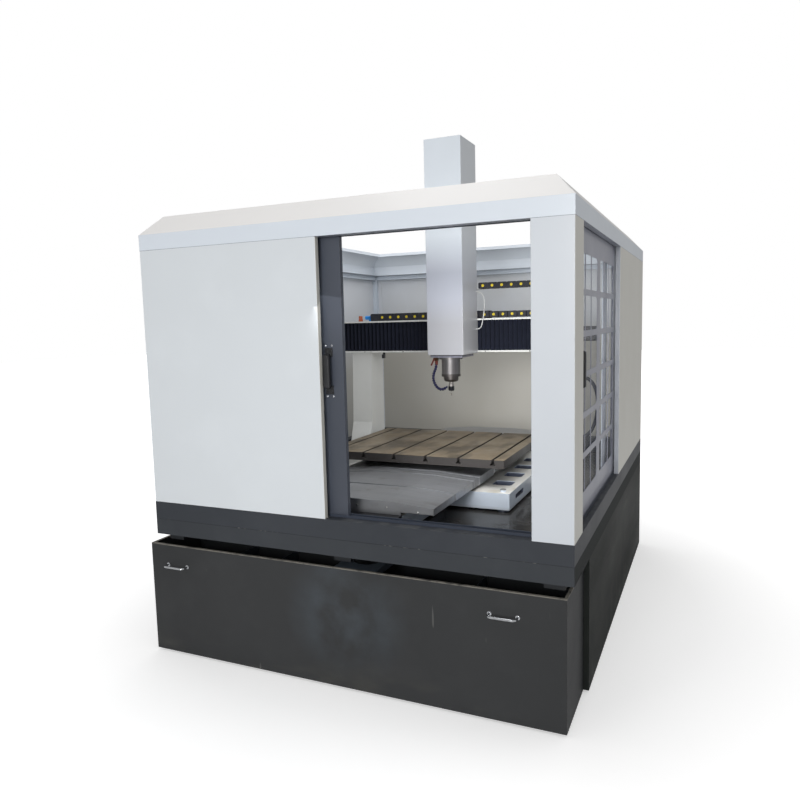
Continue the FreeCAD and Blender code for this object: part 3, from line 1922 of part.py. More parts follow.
def limit_switch():
    """Small switch box hung on a folded bracket under the beam, behind the carriage's path."""
    front = beam_front + limit_switch_width + sheet
    back = front + edge_return
    path = [(front, column_top - limit_switch_height), (front, column_top), (back, column_top)]
    right = limit_switch_x + limit_switch_width
    bracket = along_x(folded(path, -sheet), limit_switch_x, right)
    body = block(
        limit_switch_x,
        right,
        front - limit_switch_width,
        front,
        column_top - limit_switch_height,
        column_top - limit_switch_height / 3.0,
    )
    return fused([bracket, body])


gland_end = conduit_left + gland_length
conduit_bow = min(conduit_reach, conduit_room * (side_door_x - door_thickness - gland_end))
conduit_route = [V(gland_end + share * conduit_bow, conduit_y, column_top - drop) for share, drop in conduit_bends]
air_tube_route = [V(box_right + x, air_tube_y, z_box_bottom + z) for x, z in air_tube_bends]


def gland(place):
    """Screwed gland between the column's face and the end of the conduit."""
    body = bar_x(place.y, place.z, conduit_left, conduit_left + gland_length / 2.0, gland_radius)
    neck = bar_x(place.y, place.z, conduit_left, conduit_left + gland_length, gland_radius * 0.8)
    return fused([body, neck])


glands = [gland(conduit_route[0]), gland(conduit_route[-1])]
save("gantry_fittings", group([straight_fitting(), elbow_fitting(), limit_switch()] + glands))
save("column_conduit", round_tube(conduit_route, V(0, 1, 0), conduit_radius, cord_sides))
save("air_tube", round_tube(air_tube_route, V(0, 1, 0), air_tube_radius, cord_sides))
for cord, route in (("conduit", conduit_route), ("air tube", air_tube_route), ("coolant hose", hose_route)):
    print(cord, "bend radii in mm:", [round(radius, 1) for entry, leave, radius in bow_corners(route)])
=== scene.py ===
import math
import random

import bmesh
import bpy
from mathutils import Matrix, Quaternion, Vector


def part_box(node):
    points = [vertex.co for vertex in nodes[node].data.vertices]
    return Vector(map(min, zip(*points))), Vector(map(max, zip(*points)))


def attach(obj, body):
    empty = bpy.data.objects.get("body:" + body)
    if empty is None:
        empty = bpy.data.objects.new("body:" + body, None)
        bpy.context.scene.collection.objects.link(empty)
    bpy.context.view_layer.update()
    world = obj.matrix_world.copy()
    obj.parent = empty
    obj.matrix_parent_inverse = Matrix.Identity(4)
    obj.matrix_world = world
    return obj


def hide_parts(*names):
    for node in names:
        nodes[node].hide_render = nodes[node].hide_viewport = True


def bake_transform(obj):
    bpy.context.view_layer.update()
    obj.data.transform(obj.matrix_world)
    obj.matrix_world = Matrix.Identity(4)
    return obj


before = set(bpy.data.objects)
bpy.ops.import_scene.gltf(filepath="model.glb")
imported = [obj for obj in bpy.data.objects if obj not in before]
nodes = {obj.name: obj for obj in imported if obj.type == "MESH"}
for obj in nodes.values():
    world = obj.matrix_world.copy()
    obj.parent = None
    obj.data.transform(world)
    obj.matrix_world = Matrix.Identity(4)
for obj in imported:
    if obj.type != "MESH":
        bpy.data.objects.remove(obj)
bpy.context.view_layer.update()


# --- The photographer's view
# Somebody's eye height in front of the machine's right-hand corner, turned a little so that the front
# and the right side both show, and held very slightly off level.
eye = Vector((1.4288, -3.6368, 1.5382))
looked_at = Vector((-0.1488, -0.1508, 1.1124))
camera_roll = math.radians(-1.435)
focal_length = 31.47

camera_data = bpy.data.cameras.new("camera")
camera_data.lens = focal_length
camera_data.sensor_width = 36.0
camera = bpy.data.objects.new("camera", camera_data)
camera.location = eye
camera.rotation_mode = "QUATERNION"
level = (looked_at - eye).to_track_quat("-Z", "Y")
camera.rotation_quaternion = level @ Quaternion((0.0, 0.0, 1.0), camera_roll)
bpy.context.scene.collection.objects.link(camera)
bpy.context.scene.camera = camera


# --- Welded base frame and its six levelling feet
# Square steel tube, welded, ground at the joints and brushed with dark enamel. Each foot is a turned
# steel pad on a threaded stem.
def card(red, green, blue):
    """A colour of the paint card, 0 to 255, as a shader takes it."""
    parts = [value / 255.0 for value in (red, green, blue)]
    linear = [part / 12.92 if part < 0.04045 else ((part + 0.055) / 1.055) ** 2.4 for part in parts]
    return (*linear, 1.0)


class Finish:
    """One surface. Its patterns lie on the piece's own coordinates, in metres."""

    def __init__(self, name, colour, roughness, edge=0.0008, sockets=()):
        self.material = bpy.data.materials.new(name)
        self.material.use_nodes = True
        self.tree = self.material.node_tree
        self.shader = self.tree.nodes["Principled BSDF"]
        self.place = self.node("TexCoord").outputs["Object"]
        self.colour = card(*colour)
        self.roughness = roughness
        self.normal = self.node("Bevel", {"Radius": edge}).outputs["Normal"]
        self.feed(self.shader.inputs["Base Color"], self.colour)
        self.feed(self.shader.inputs["Roughness"], roughness)
        self.feed(self.shader.inputs["Normal"], self.normal)
        for socket, value in sockets:
            self.shader.inputs[socket].default_value = value

    def feed(self, socket, value):
        """Links a socket to another one, or sets its own value."""
        if isinstance(value, bpy.types.NodeSocket):
            self.tree.links.new(value, socket)
        else:
            socket.default_value = value

    def node(self, kind, inputs=(), **settings):
        made = self.tree.nodes.new("ShaderNode" + kind)
        for setting, value in settings.items():
            setattr(made, setting, value)
        for socket, value in dict(inputs).items():
            self.feed(made.inputs[socket], value)
        return made

    def ramp(self, value, start, end):
        """0 up to start and 1 from end on."""
        return self.node("MapRange", {"Value": value, "From Min": start, "From Max": end}).outputs[0]

    def both(self, first, second):
        """1 only where both patterns are 1."""
        return self.node("Math", {0: first, 1: second}, operation="MULTIPLY").outputs[0]

    def noise(self, scale, low, high, stretch=(1.0, 1.0, 1.0), detail=4.0):
        """Clouds, scale of them to the metre: 0 where they are under low, 1 over high."""
        drawn = self.node("VectorMath", {0: self.place, 1: stretch}, operation="MULTIPLY").outputs[0]
        cloud = self.node("TexNoise", {"Vector": drawn, "Scale": scale, "Detail": detail})
        return self.ramp(cloud.outputs[0], low, high)

    def along(self, axis, start, end):
        """0 before start and 1 past end, along the piece's x, y or z: axis 0, 1 or 2."""
        return self.ramp(self.node("SeparateXYZ", {0: self.place}).outputs[axis], start, end)

    def facing(self, axis, start, end):
        """The same ramp over the direction that the surface faces."""
        normal = self.node("TexCoord").outputs["Normal"]
        return self.ramp(self.node("SeparateXYZ", {0: normal}).outputs[axis], start, end)

    def specks(self, scale, radius, share):
        """Round specks, one in a share of scale cells to the metre."""
        cell = self.node("TexVoronoi", {"Vector": self.place, "Scale": scale})
        near = self.ramp(cell.outputs["Distance"], radius * scale, radius * scale * 0.6)
        pick = self.node("SeparateColor", {0: cell.outputs["Color"]}).outputs[0]
        return self.both(near, self.ramp(pick, 1.0 - share, 1.01 - share))

    def lay(self, pattern, colour, strength=1.0):
        """Lays a colour over the surface where the pattern is 1."""
        mix = self.node("Mix", {0: self.both(pattern, strength)}, data_type="RGBA")
        self.feed(mix.inputs[6], self.colour)
        self.feed(mix.inputs[7], card(*colour))
        self.colour = mix.outputs[2]
        self.feed(self.shader.inputs["Base Color"], self.colour)

    def gloss(self, pattern, roughness):
        """Turns the surface smoother or rougher where the pattern is 1."""
        mix = self.node("Mix", {0: pattern, 2: self.roughness, 3: roughness})
        self.roughness = mix.outputs[0]
        self.feed(self.shader.inputs["Roughness"], self.roughness)

    def emboss(self, pattern, depth):
        """Raises the surface by depth, in metres, where the pattern is 1."""
        bump = self.node("Bump", {"Height": pattern, "Distance": depth, "Normal": self.normal})
        self.normal = bump.outputs[0]
        self.feed(self.shader.inputs["Normal"], self.normal)

    def grain(self, scale, depth, low=0.4, detail=4.0):
        """A fine unevenness all over, such as the orange peel of sprayed paint."""
        self.emboss(self.noise(scale, low, 0.7, detail=detail), depth)


def dress(finish, *names):
    """Puts a finish on pieces that keep the shape they were built with."""
    for name in names:
        for held in nodes[name].material_slots:
            held.material = finish.material


def charcoal_paint(name, colour, mirror=0.3):
    """Dark two-part paint, rolled on sheet: soft clouds, fine orange peel and pin-head nicks."""
    paint = Finish(name, colour, 0.4, edge=0.0012, sockets=[("Specular IOR Level", mirror)])
    paint.lay(paint.noise(1.3, 0.35, 0.75), [value - 9 for value in colour], 0.8)
    paint.lay(paint.noise(5.0, 0.5, 0.8), [value + 7 for value in colour], 0.5)
    paint.lay(paint.specks(9.0, 0.0022, 0.22), (150, 150, 146), 0.7)
    paint.gloss(paint.noise(4.0, 0.35, 0.7), 0.46)
    paint.grain(420.0, 0.00005, 0.3, detail=1.0)
    return paint


frame_enamel = charcoal_paint("frame_enamel", (44, 46, 49))
frame_enamel.lay(frame_enamel.noise(14.0, 0.55, 0.75), (64, 60, 54), 0.5)
dress(frame_enamel, "base_frame", "runner_channels")

foot_steel = Finish("foot_steel", (96, 97, 98), 0.42, sockets=[("Metallic", 0.9)])
foot_steel.lay(foot_steel.noise(40.0, 0.5, 0.7), (70, 62, 54), 0.6)
foot_steel.gloss(foot_steel.noise(60.0, 0.4, 0.7), 0.62)
foot_steel.grain(260.0, 0.0001)
dress(foot_steel, "levelling_feet")


# --- Chip tray on its ring
# The ring is a channel of 3 mm sheet and the tray a folded pan that stands on it. Both are sprayed dark
# grey after welding. The seam between them is sealed, and its sealant shows as a thin nicked line.
tray_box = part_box("chip_tray")
ring_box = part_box("base_ring")
seam_z = ring_box[1].z

ring_paint = charcoal_paint("ring_paint", (62, 65, 69), 0.16)
at_seam = ring_paint.along(2, seam_z - 0.0022, seam_z - 0.0008)
ring_paint.lay(at_seam, (38, 39, 41), 0.9)
ring_paint.lay(ring_paint.both(at_seam, ring_paint.noise(30.0, 0.58, 0.66)), (140, 139, 134), 0.6)
# Faces turned to the right are laid darker, as painted shade, and rougher.
shaded_right_side = ring_paint.facing(0, 0.5, 0.9)
ring_paint.lay(shaded_right_side, (38, 41, 40), 0.85)
ring_paint.gloss(shaded_right_side, 0.72)
dress(ring_paint, "base_ring")

tray_paint = charcoal_paint("tray_paint", (61, 64, 69), 0.16)
tray_floor = tray_paint.along(2, tray_box[0].z + 0.02, tray_box[0].z + 0.01)
tray_paint.lay(tray_floor, (50, 49, 48), 0.9)
tray_paint.gloss(tray_floor, 0.12)
tray_paint.gloss(tray_paint.both(tray_floor, tray_paint.noise(6.0, 0.5, 0.65)), 0.3)
edge_wear = tray_paint.both(tray_paint.along(2, tray_box[1].z - 0.0015, tray_box[1].z - 0.0004),
                            tray_paint.noise(20.0, 0.45, 0.6))
tray_paint.lay(edge_wear, (92, 93, 93), 0.35)
dress(tray_paint, "chip_tray")


# --- Lower panels
# Three sheets, screwed to the base frame's legs at the left, right and back, in the same dark paint laid
# darker as painted shade, with the scuffs that pallets and shoes leave near the floor.
shaded_skirt_paint = charcoal_paint("shaded_skirt_paint", (42, 45, 43), 0.06)
scuffed = shaded_skirt_paint.both(shaded_skirt_paint.along(2, 0.30, 0.05),
                           shaded_skirt_paint.noise(9.0, 0.55, 0.8, (1.0, 1.0, 0.4)))
shaded_skirt_paint.lay(scuffed, (92, 92, 88), 0.5)
shaded_skirt_paint.gloss(shaded_skirt_paint.noise(2.0, 0.3, 0.7, (1.0, 0.3, 2.0)), 0.56)
dress(shaded_skirt_paint, "lower_panels")


# --- Coolant tank drawer
# A long open tank of 3 mm sheet, welded and sprayed, with baffles and a shelf for its pump. It rolls out
# forwards on two bars. Its front carries two chromed bow handles on turned rosettes.
def piece(name, body, finish, build, smooth=False):
    """A modelled piece: build fills its mesh, in the machine's own frame, and it rides on a body."""
    mesh = bpy.data.meshes.new(name)
    shape = bmesh.new()
    build(shape)
    bmesh.ops.recalc_face_normals(shape, faces=shape.faces)
    shape.to_mesh(mesh)
    shape.free()
    mesh.materials.append(finish.material)
    if smooth:
        mesh.shade_smooth()
        mesh.set_sharp_from_angle(angle=math.radians(35.0))
    else:
        mesh.shade_flat()
    made = bpy.data.objects.new(name, mesh)
    bpy.context.scene.collection.objects.link(made)
    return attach(made, body) if body else made


def turned(shape, profile, place, steps):
    """Spins (radius, height) pairs about the z axis of place. A radius of 0 closes an end."""
    angles = [math.tau * step / steps for step in range(steps)]
    rings = []
    for radius, height in profile:
        if radius == 0.0:
            rings.append([shape.verts.new(place @ Vector((0.0, 0.0, height)))])
            continue
        ring = [Vector((radius * math.cos(angle), radius * math.sin(angle), height)) for angle in angles]
        rings.append([shape.verts.new(place @ corner) for corner in ring])
    for low, high in zip(rings, rings[1:]):
        for step in range(steps):
            after = (step + 1) % steps
            corners = [low[step % len(low)], low[after % len(low)],
                       high[after % len(high)], high[step % len(high)]]
            shape.faces.new(list(dict.fromkeys(corners)))


def plate(shape, outline, place, depth):
    """A flat piece with one outline, depth thick along the z axis of place."""
    low = [shape.verts.new(place @ Vector((u, v, 0.0))) for u, v in outline]
    high = [shape.verts.new(place @ Vector((u, v, depth))) for u, v in outline]
    shape.faces.new(low[::-1])
    shape.faces.new(high)
    for step in range(len(outline)):
        after = (step + 1) % len(outline)
        shape.faces.new([low[step], low[after], high[after], high[step]])


def turned_to(place, direction):
    """A frame at place whose z axis points along direction."""
    return Matrix.Translation(place) @ Vector(direction).to_track_quat("Z", "Y").to_matrix().to_4x4()


tank_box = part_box("tank_shell")
tank_paint = charcoal_paint("tank_paint", (57, 58, 59), 0.16)
smudge_middle = Vector((0.05, tank_box[0].y, 0.33))
smudge_radius = 0.30
away = tank_paint.node("VectorMath", {0: tank_paint.place, 1: smudge_middle}, operation="DISTANCE")
smudge = tank_paint.both(tank_paint.ramp(away.outputs["Value"], smudge_radius, 0.02),
                         tank_paint.noise(7.0, 0.3, 0.75))
tank_paint.lay(smudge, (92, 102, 112), 0.55)
rubbed = tank_paint.both(tank_paint.along(2, 0.16, 0.0),
                         tank_paint.noise(3.0, 0.52, 0.8, (1.0, 1.0, 2.5)))
tank_paint.lay(rubbed, (88, 86, 80), 0.5)
scratches = tank_paint.noise(40.0, 0.735, 0.76, (0.6, 1.0, 0.08), 2.0)
tank_paint.lay(scratches, (104, 104, 102), 0.5)
# A paler band along the top edge, broken in places, is a painted highlight on the rim.
rim_highlight = tank_paint.along(2, tank_box[1].z - 0.0045, tank_box[1].z - 0.0025)
tank_paint.lay(tank_paint.both(rim_highlight, tank_paint.noise(25.0, 0.25, 0.5)), (128, 124, 116), 0.85)
# Everything behind the front sheet and below the rim is laid darker, as painted shade inside the tank.
inside = tank_paint.both(tank_paint.along(1, tank_box[0].y + 0.0016, tank_box[0].y + 0.0022),
                         tank_paint.along(2, tank_box[1].z - 0.004, tank_box[1].z - 0.006))
tank_paint.lay(inside, (40, 43, 47), 0.35)
dress(tank_paint, "tank_shell")
baffle_paint = charcoal_paint("baffle_paint", (80, 88, 98), 0.2)
# Lower down in the tank the baffles are laid darker, as painted shade.
baffle_paint.lay(baffle_paint.along(2, tank_box[1].z - 0.05, tank_box[1].z - 0.15), (48, 52, 57), 0.7)
dress(baffle_paint, "tank_baffles")

pump_enamel = Finish("pump_enamel", (70, 84, 96), 0.4)
pump_enamel.lay(pump_enamel.noise(18.0, 0.45, 0.7), (48, 56, 64), 0.7)
pump_enamel.grain(180.0, 0.0002)
dress(pump_enamel, "coolant_pump")

chrome = Finish("handle_chrome", (214, 216, 220), 0.07, sockets=[("Metallic", 1.0)])
chrome.lay(chrome.noise(50.0, 0.55, 0.75), (176, 178, 184), 0.6)
chrome.gloss(chrome.noise(90.0, 0.5, 0.7), 0.18)
dress(chrome, "tank_handles")

handle_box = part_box("tank_handles")
rosette_radius = 0.0095
rosette_height = 0.0035
handle_grip_radius = 0.005
handle_span = 0.110
handle_z = (handle_box[0].z + handle_box[1].z) / 2.0


def tank_rosettes(shape):
    """Four turned cups, one round each foot of the bow handles."""
    profile = [(handle_grip_radius, 0.0), (rosette_radius, 0.0), (rosette_radius, rosette_height * 0.5),
               (rosette_radius * 0.8, rosette_height), (handle_grip_radius, rosette_height),
               (handle_grip_radius, 0.0)]
    left = handle_box[0].x + handle_grip_radius
    right = handle_box[1].x - handle_grip_radius
    for x in (left, left + handle_span, right - handle_span, right):
        turned(shape, profile, turned_to(Vector((x, tank_box[0].y, handle_z)), (0.0, -1.0, 0.0)), 28)


piece("tank_rosettes", "tank_drawer", chrome, tank_rosettes, smooth=True)


# --- Cast bed, its screw and rails
# A cast-iron plinth with cored holes, filled and sprayed off-white, on round jacking pads. Rails and
# screw are ground steel with a film of oil, and a folded steel box covers the motor.
def casting_enamel(name, colour):
    """Thick sprayed enamel on filled iron: slow swells, soft dirt in the clouds and a fair shine."""
    enamel = Finish(name, colour, 0.33, edge=0.0015,
                    sockets=[("Coat Weight", 0.25), ("Coat Roughness", 0.2)])
    enamel.lay(enamel.noise(3.0, 0.45, 0.8), [value - 14 for value in colour], 0.7)
    enamel.lay(enamel.specks(14.0, 0.002, 0.15), (120, 112, 98), 0.6)
    enamel.gloss(enamel.noise(7.0, 0.4, 0.7), 0.45)
    enamel.emboss(enamel.noise(22.0, 0.3, 0.7, detail=2.0), 0.0006)
    enamel.grain(380.0, 0.00006, 0.3, detail=1.0)
    return enamel


def ground_steel(name, colour, roughness, stretch=(1.0, 1.0, 1.0)):
    """Bare steel with fine grinding lines, long in the direction where stretch is small."""
    steel = Finish(name, colour, roughness, sockets=[("Metallic", 1.0)])
    steel.lay(steel.noise(90.0, 0.35, 0.7, stretch), [value - 26 for value in colour], 0.6)
    steel.gloss(steel.noise(140.0, 0.4, 0.7, stretch), roughness + 0.14)
    steel.emboss(steel.noise(900.0, 0.3, 0.7, stretch, 2.0), 0.00002)
    return steel


bed_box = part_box("bed_casting")
bed_enamel = casting_enamel("bed_enamel", (204, 214, 226))
# Faces turned upwards are laid warmer, as painted light from above; the oil clouds laid on them next are
# real.
bed_enamel.lay(bed_enamel.facing(2, 0.5, 0.9), (214, 209, 198), 0.75)
oily = bed_enamel.both(bed_enamel.facing(2, 0.5, 0.9), bed_enamel.noise(9.0, 0.5, 0.7))
bed_enamel.lay(oily, (176, 166, 140), 0.55)
bed_enamel.lay(bed_enamel.along(2, bed_box[0].z + 0.03, bed_box[0].z + 0.01), (150, 150, 150), 0.4)
ways = bed_enamel.along(2, bed_box[1].z - 0.015, bed_box[1].z - 0.0135)
bed_enamel.lay(ways, (120, 120, 118), 0.9)
plinth_top = 0.712
cored_from = 0.4015
cored_to = 0.5393
cored_behind = -0.450
bed_middle = (bed_box[0].x + bed_box[1].x) / 2.0
sideways = bed_enamel.node("SeparateXYZ", {0: bed_enamel.place}).outputs[0]
sideways = bed_enamel.node("Math", {0: sideways, 1: bed_middle}, operation="SUBTRACT").outputs[0]
sideways = bed_enamel.node("Math", {0: sideways}, operation="ABSOLUTE").outputs[0]
# The walls of the cored holes below the plinth's top are laid dark blue, as painted shade in the holes.
cored_shade = bed_enamel.both(bed_enamel.ramp(sideways, cored_from - 0.0005, cored_from),
                        bed_enamel.ramp(sideways, cored_to + 0.0005, cored_to))
cored_shade = bed_enamel.both(cored_shade, bed_enamel.along(2, plinth_top - 0.002, plinth_top - 0.004))
cored_shade = bed_enamel.both(cored_shade, bed_enamel.along(1, cored_behind - 0.002, cored_behind))
bed_enamel.lay(cored_shade, (58, 66, 88), 0.9)
dress(bed_enamel, "bed_casting")

rail_steel = ground_steel("rail_steel", (170, 172, 174), 0.2, (1.0, 0.03, 1.0))
dress(rail_steel, "guide_rails", "y_screw", "x_screw", "z_screw")

motor_black = Finish("motor_black", (34, 35, 38), 0.38, edge=0.002)
motor_black.lay(motor_black.noise(16.0, 0.5, 0.75), (52, 53, 56), 0.5)
motor_black.grain(500.0, 0.00008, 0.3, detail=1.0)
dress(motor_black, "axis_motors", "z_motor")
dress(charcoal_paint("motor_box_paint", (30, 31, 36)), "y_motor_box")


# --- T-slot table on its saddle
# A ground iron table with six slots that run right through it. It carries a brown film of oil and the
# rub marks of past jobs. The saddle under it is an enamelled casting.
table_top_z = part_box("t_slot_table")[1].z

table_iron = Finish("table_iron", (132, 118, 98), 0.42, edge=0.0006, sockets=[("Metallic", 0.45)])
on_top = table_iron.along(2, table_top_z - 0.0012, table_top_z - 0.0004)
dried_oil = table_iron.noise(3.2, 0.38, 0.68)
wet_oil = table_iron.noise(7.0, 0.46, 0.62, (1.0, 0.5, 1.0))
rubbed = table_iron.noise(22.0, 0.6, 0.75, (1.0, 0.25, 1.0))
table_iron.lay(table_iron.both(on_top, dried_oil), (148, 135, 114), 0.75)
table_iron.lay(table_iron.both(on_top, wet_oil), (84, 76, 64), 0.85)
table_iron.lay(table_iron.both(on_top, rubbed), (128, 124, 116), 0.5)
table_iron.lay(table_iron.along(2, table_top_z - 0.0012, table_top_z - 0.0016), (72, 70, 70), 0.95)
table_iron.gloss(table_iron.noise(7.0, 0.35, 0.7), 0.58)
table_iron.gloss(table_iron.both(on_top, table_iron.noise(2.5, 0.55, 0.75)), 0.22)
table_iron.emboss(table_iron.noise(700.0, 0.3, 0.7, (1.0, 0.05, 1.0), 2.0), 0.00003)
dress(table_iron, "t_slot_table")
dress(casting_enamel("saddle_enamel", (176, 178, 178)), "table_saddle")


# --- Telescopic way covers
# Spring steel sheet, crowned and folded down at both sides, each length wiping over the one before it.
# The brushed sheet is satin, with dried coolant in soft patches. The front plate is riveted in.
cover_steel = Finish("way_cover_steel", (172, 174, 178), 0.36, edge=0.0012, sockets=[("Metallic", 0.75)])
cover_steel.lay(cover_steel.noise(2.4, 0.4, 0.75), (130, 129, 128), 0.6)
cover_steel.lay(cover_steel.noise(60.0, 0.35, 0.7, (0.04, 1.0, 1.0)), (142, 144, 148), 0.5)
cover_steel.lay(cover_steel.noise(11.0, 0.6, 0.78), (112, 106, 96), 0.45)
cover_steel.gloss(cover_steel.noise(5.0, 0.35, 0.7), 0.46)
cover_steel.emboss(cover_steel.noise(600.0, 0.3, 0.7, (0.03, 1.0, 1.0), 2.0), 0.00003)
cover_steel.emboss(cover_steel.noise(2.0, 0.2, 0.8, detail=1.0), 0.0012)
dress(cover_steel, "fixed_way_covers", "front_cover_2", "front_cover_3", "rear_cover_2", "rear_cover_3",
      "table_way_covers")

cover_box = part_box("fixed_way_covers")
end_plate_y = cover_box[0].y + 0.008
crown_flat = 0.156
crown_slope = 0.209
crown_fall = 0.017
rivet_radius = 0.0042
rivet_height = 0.0016
rivet_pitch = 0.145
rivet_drop = 0.030
rivet_steel = ground_steel("rivet_steel", (188, 188, 186), 0.25)


def domed_head(shape, place, radius, height, steps=16):
    """A low round head, as on a rivet or a pan screw."""
    profile = [(0.0, 0.0), (radius, 0.0), (radius, height * 0.35), (radius * 0.72, height * 0.85),
               (0.0, height)]
    turned(shape, profile, place, steps)


def plate_rivets(shape):
    """Rivets along the top of the front end plate, which stands a little inside the first cover."""
    middle = (cover_box[0].x + cover_box[1].x) / 2.0
    for step in range(-2, 3):
        across = step * rivet_pitch
        fall = crown_fall * max(0.0, (abs(across) - crown_flat) / crown_slope)
        head = Vector((middle + across, end_plate_y, cover_box[1].z - rivet_drop - fall))
        domed_head(shape, turned_to(head, (0.0, -1.0, 0.0)), rivet_radius, rivet_height)


piece("cover_rivets", "cabinet", rivet_steel, plate_rivets, smooth=True)


# --- Gantry
# Two cast columns bolted to the tray and a cast box beam across them, all in off-white enamel. On the
# beam sit a brass connector, a blue push-in elbow, and under it a limit switch on a bracket.
gantry_enamel = casting_enamel("gantry_enamel", (222, 223, 220))
# Towards their feet the columns are laid darker and warmer, as painted shade low in the cabin.
gantry_enamel.lay(gantry_enamel.along(2, 0.80, 0.56), (196, 192, 180), 0.5)
dress(gantry_enamel, "gantry_columns", "gantry_beam")

beam_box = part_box("gantry_beam")
fitting_finish = Finish("fitting_finish", (176, 92, 58), 0.3, sockets=[("Specular IOR Level", 0.5)])
elbow_from = beam_box[0].x + 0.111
switch_from = beam_box[0].x + 0.197
fitting_finish.lay(fitting_finish.along(0, elbow_from, elbow_from + 0.001), (24, 128, 206))
fitting_finish.lay(fitting_finish.along(0, switch_from, switch_from + 0.001), (46, 47, 50))
fitting_finish.lay(fitting_finish.noise(160.0, 0.5, 0.75), (30, 30, 32), 0.25)
fitting_finish.grain(400.0, 0.00006)
dress(fitting_finish, "gantry_fittings")

lip_screw_radius = 0.0032
lip_screw_head = 0.0008
lip_screw_pitch = 0.26
lip_middle_up = 0.0045
screw_black = Finish("screw_black", (40, 40, 42), 0.42, sockets=[("Metallic", 0.7)])
screw_black.lay(screw_black.noise(300.0, 0.5, 0.7), (84, 80, 74), 0.5)
screw_black.grain(900.0, 0.00003)


def lip_screws(shape):
    """Small screws in the beam's lower lip that hold the rail under the folds."""
    x = beam_box[0].x + lip_screw_pitch * 0.6
    while x < beam_box[1].x - lip_screw_pitch * 0.3:
        head = Vector((x, beam_box[0].y, beam_box[0].z + lip_middle_up))
        domed_head(shape, turned_to(head, (0.0, -1.0, 0.0)), lip_screw_radius, lip_screw_head, 12)
        x += lip_screw_pitch


piece("beam_lip_screws", "cabinet", screw_black, lip_screws, smooth=True)


# --- Bellows over the beam's recess
# Two lengths of coated cloth, folded in stiff pleats that stand across the beam. One end of each is fixed
# at the beam's end and the other to the carriage; here the pleats are built as they stand, and do not
# open or close.
pleat_pitch = 0.026
cloth_thickness = 0.0022
cloth_slack = 0.0006
fold_roundness = 0.28
fold_margin = 0.02
rows_up = 7
steps_per_fold = 6

bellows_cloth = Finish("bellows_cloth", (36, 39, 50), 0.85, edge=0.0004,
                       sockets=[("Specular IOR Level", 0.15)])
bellows_cloth.lay(bellows_cloth.noise(6.0, 0.4, 0.75), (42, 46, 60), 0.6)
bellows_cloth.lay(bellows_cloth.noise(40.0, 0.6, 0.8), (50, 54, 64), 0.2)
bellows_cloth.gloss(bellows_cloth.noise(12.0, 0.4, 0.7), 0.7)
weave = {"Vector": bellows_cloth.place, "Scale": 320.0, "Distortion": 0.4}
for direction in ("X", "Z"):
    threads = bellows_cloth.node("TexWave", weave, bands_direction=direction)
    bellows_cloth.emboss(threads.outputs[1], 0.00008)


def bellows(name, fixed_end, moving_end):
    """Closed pleated cloth in the space that its solid holds, its folds slightly rounded."""
    low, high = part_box(name)
    pleats = round((high.x - low.x) / pleat_pitch)
    steps = pleats * 2 * steps_per_fold
    deep = high.y - low.y - cloth_thickness
    chance = random.Random(name)
    slack = [chance.uniform(-1.0, 1.0) for _ in range(pleats + 1)]

    def build(shape):
        front, back = [], []
        for step in range(steps + 1):
            turn = step / (2.0 * steps_per_fold)
            fold = 1.0 - abs(2.0 * (turn - math.floor(turn)) - 1.0)
            rounded = 0.5 - 0.5 * math.cos(math.pi * fold)
            fold += fold_roundness * (rounded - fold)
            x = low.x + (high.x - low.x) * step / steps
            sag = cloth_slack * slack[min(int(turn), pleats)]
            ends = min(1.0, min(step, steps - step) / (2.0 * steps_per_fold))
            column_front, column_back = [], []
            for row in range(rows_up):
                share = row / (rows_up - 1)
                z = low.z + (high.z - low.z) * share
                waist = ends * sag * math.sin(math.pi * share)
                y = low.y + deep * (fold_margin + (1.0 - 2.0 * fold_margin) * fold) + max(0.0, waist)
                column_front.append(shape.verts.new((x, y, z)))
                column_back.append(shape.verts.new((x, y + cloth_thickness, z)))
            front.append(column_front)
            back.append(column_back)
        for step in range(steps):
            for row in range(rows_up - 1):
                for skin in (front, back):
                    here, there = skin[step], skin[step + 1]
                    shape.faces.new([here[row], there[row], there[row + 1], here[row + 1]])
            for row in (0, rows_up - 1):
                shape.faces.new([front[step][row], front[step + 1][row],
                                 back[step + 1][row], back[step][row]])
        for step in (0, steps):
            for row in range(rows_up - 1):
                shape.faces.new([front[step][row], front[step][row + 1],
                                 back[step][row + 1], back[step][row]])

    cloth = piece("pleated_" + name, None, bellows_cloth, build)
    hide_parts(name)
    middle = Vector((0.0, (low.y + high.y) / 2.0, (low.z + high.z) / 2.0))
    start = middle + Vector((fixed_end(low.x, high.x), 0.0, 0.0))
    end = middle + Vector((moving_end(low.x, high.x), 0.0, 0.0))
    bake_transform(cloth)


bellows("bellows_left", min, max)
bellows("bellows_right", max, min)


# --- Carriage and Z axis
# The saddle and the column behind the Z axis are castings. Over them goes a tall folded cover in white
# powder coat, smooth enough to mirror a little, laid greyer low down and on its right face as painted
# shade, with warmer patches lower down.
def white_powder(name, colour):
    """White powder coat on sheet: fine orange peel, faint clouds and a fair shine."""
    powder = Finish(name, colour, 0.36, edge=0.0015,
                    sockets=[("Coat Weight", 0.2), ("Coat Roughness", 0.12)])
    powder.lay(powder.noise(1.1, 0.35, 0.75), [value - 5 for value in colour], 0.8)
    powder.lay(powder.noise(4.0, 0.5, 0.85), [value + 5 for value in colour], 0.6)
    powder.gloss(powder.noise(3.0, 0.4, 0.7), 0.44)
    powder.grain(520.0, 0.00004, 0.3, detail=1.0)
    return powder


dress(casting_enamel("carriage_enamel", (200, 201, 200)), "x_saddle", "z_column")
z_powder = white_powder("z_cover_powder", (222, 229, 236))
# Warmer beige patches towards the lower end.
warm_patches = z_powder.both(z_powder.along(2, 1.88, 1.66), z_powder.noise(2.0, 0.2, 0.7))
z_powder.lay(warm_patches, (206, 198, 188), 0.7)
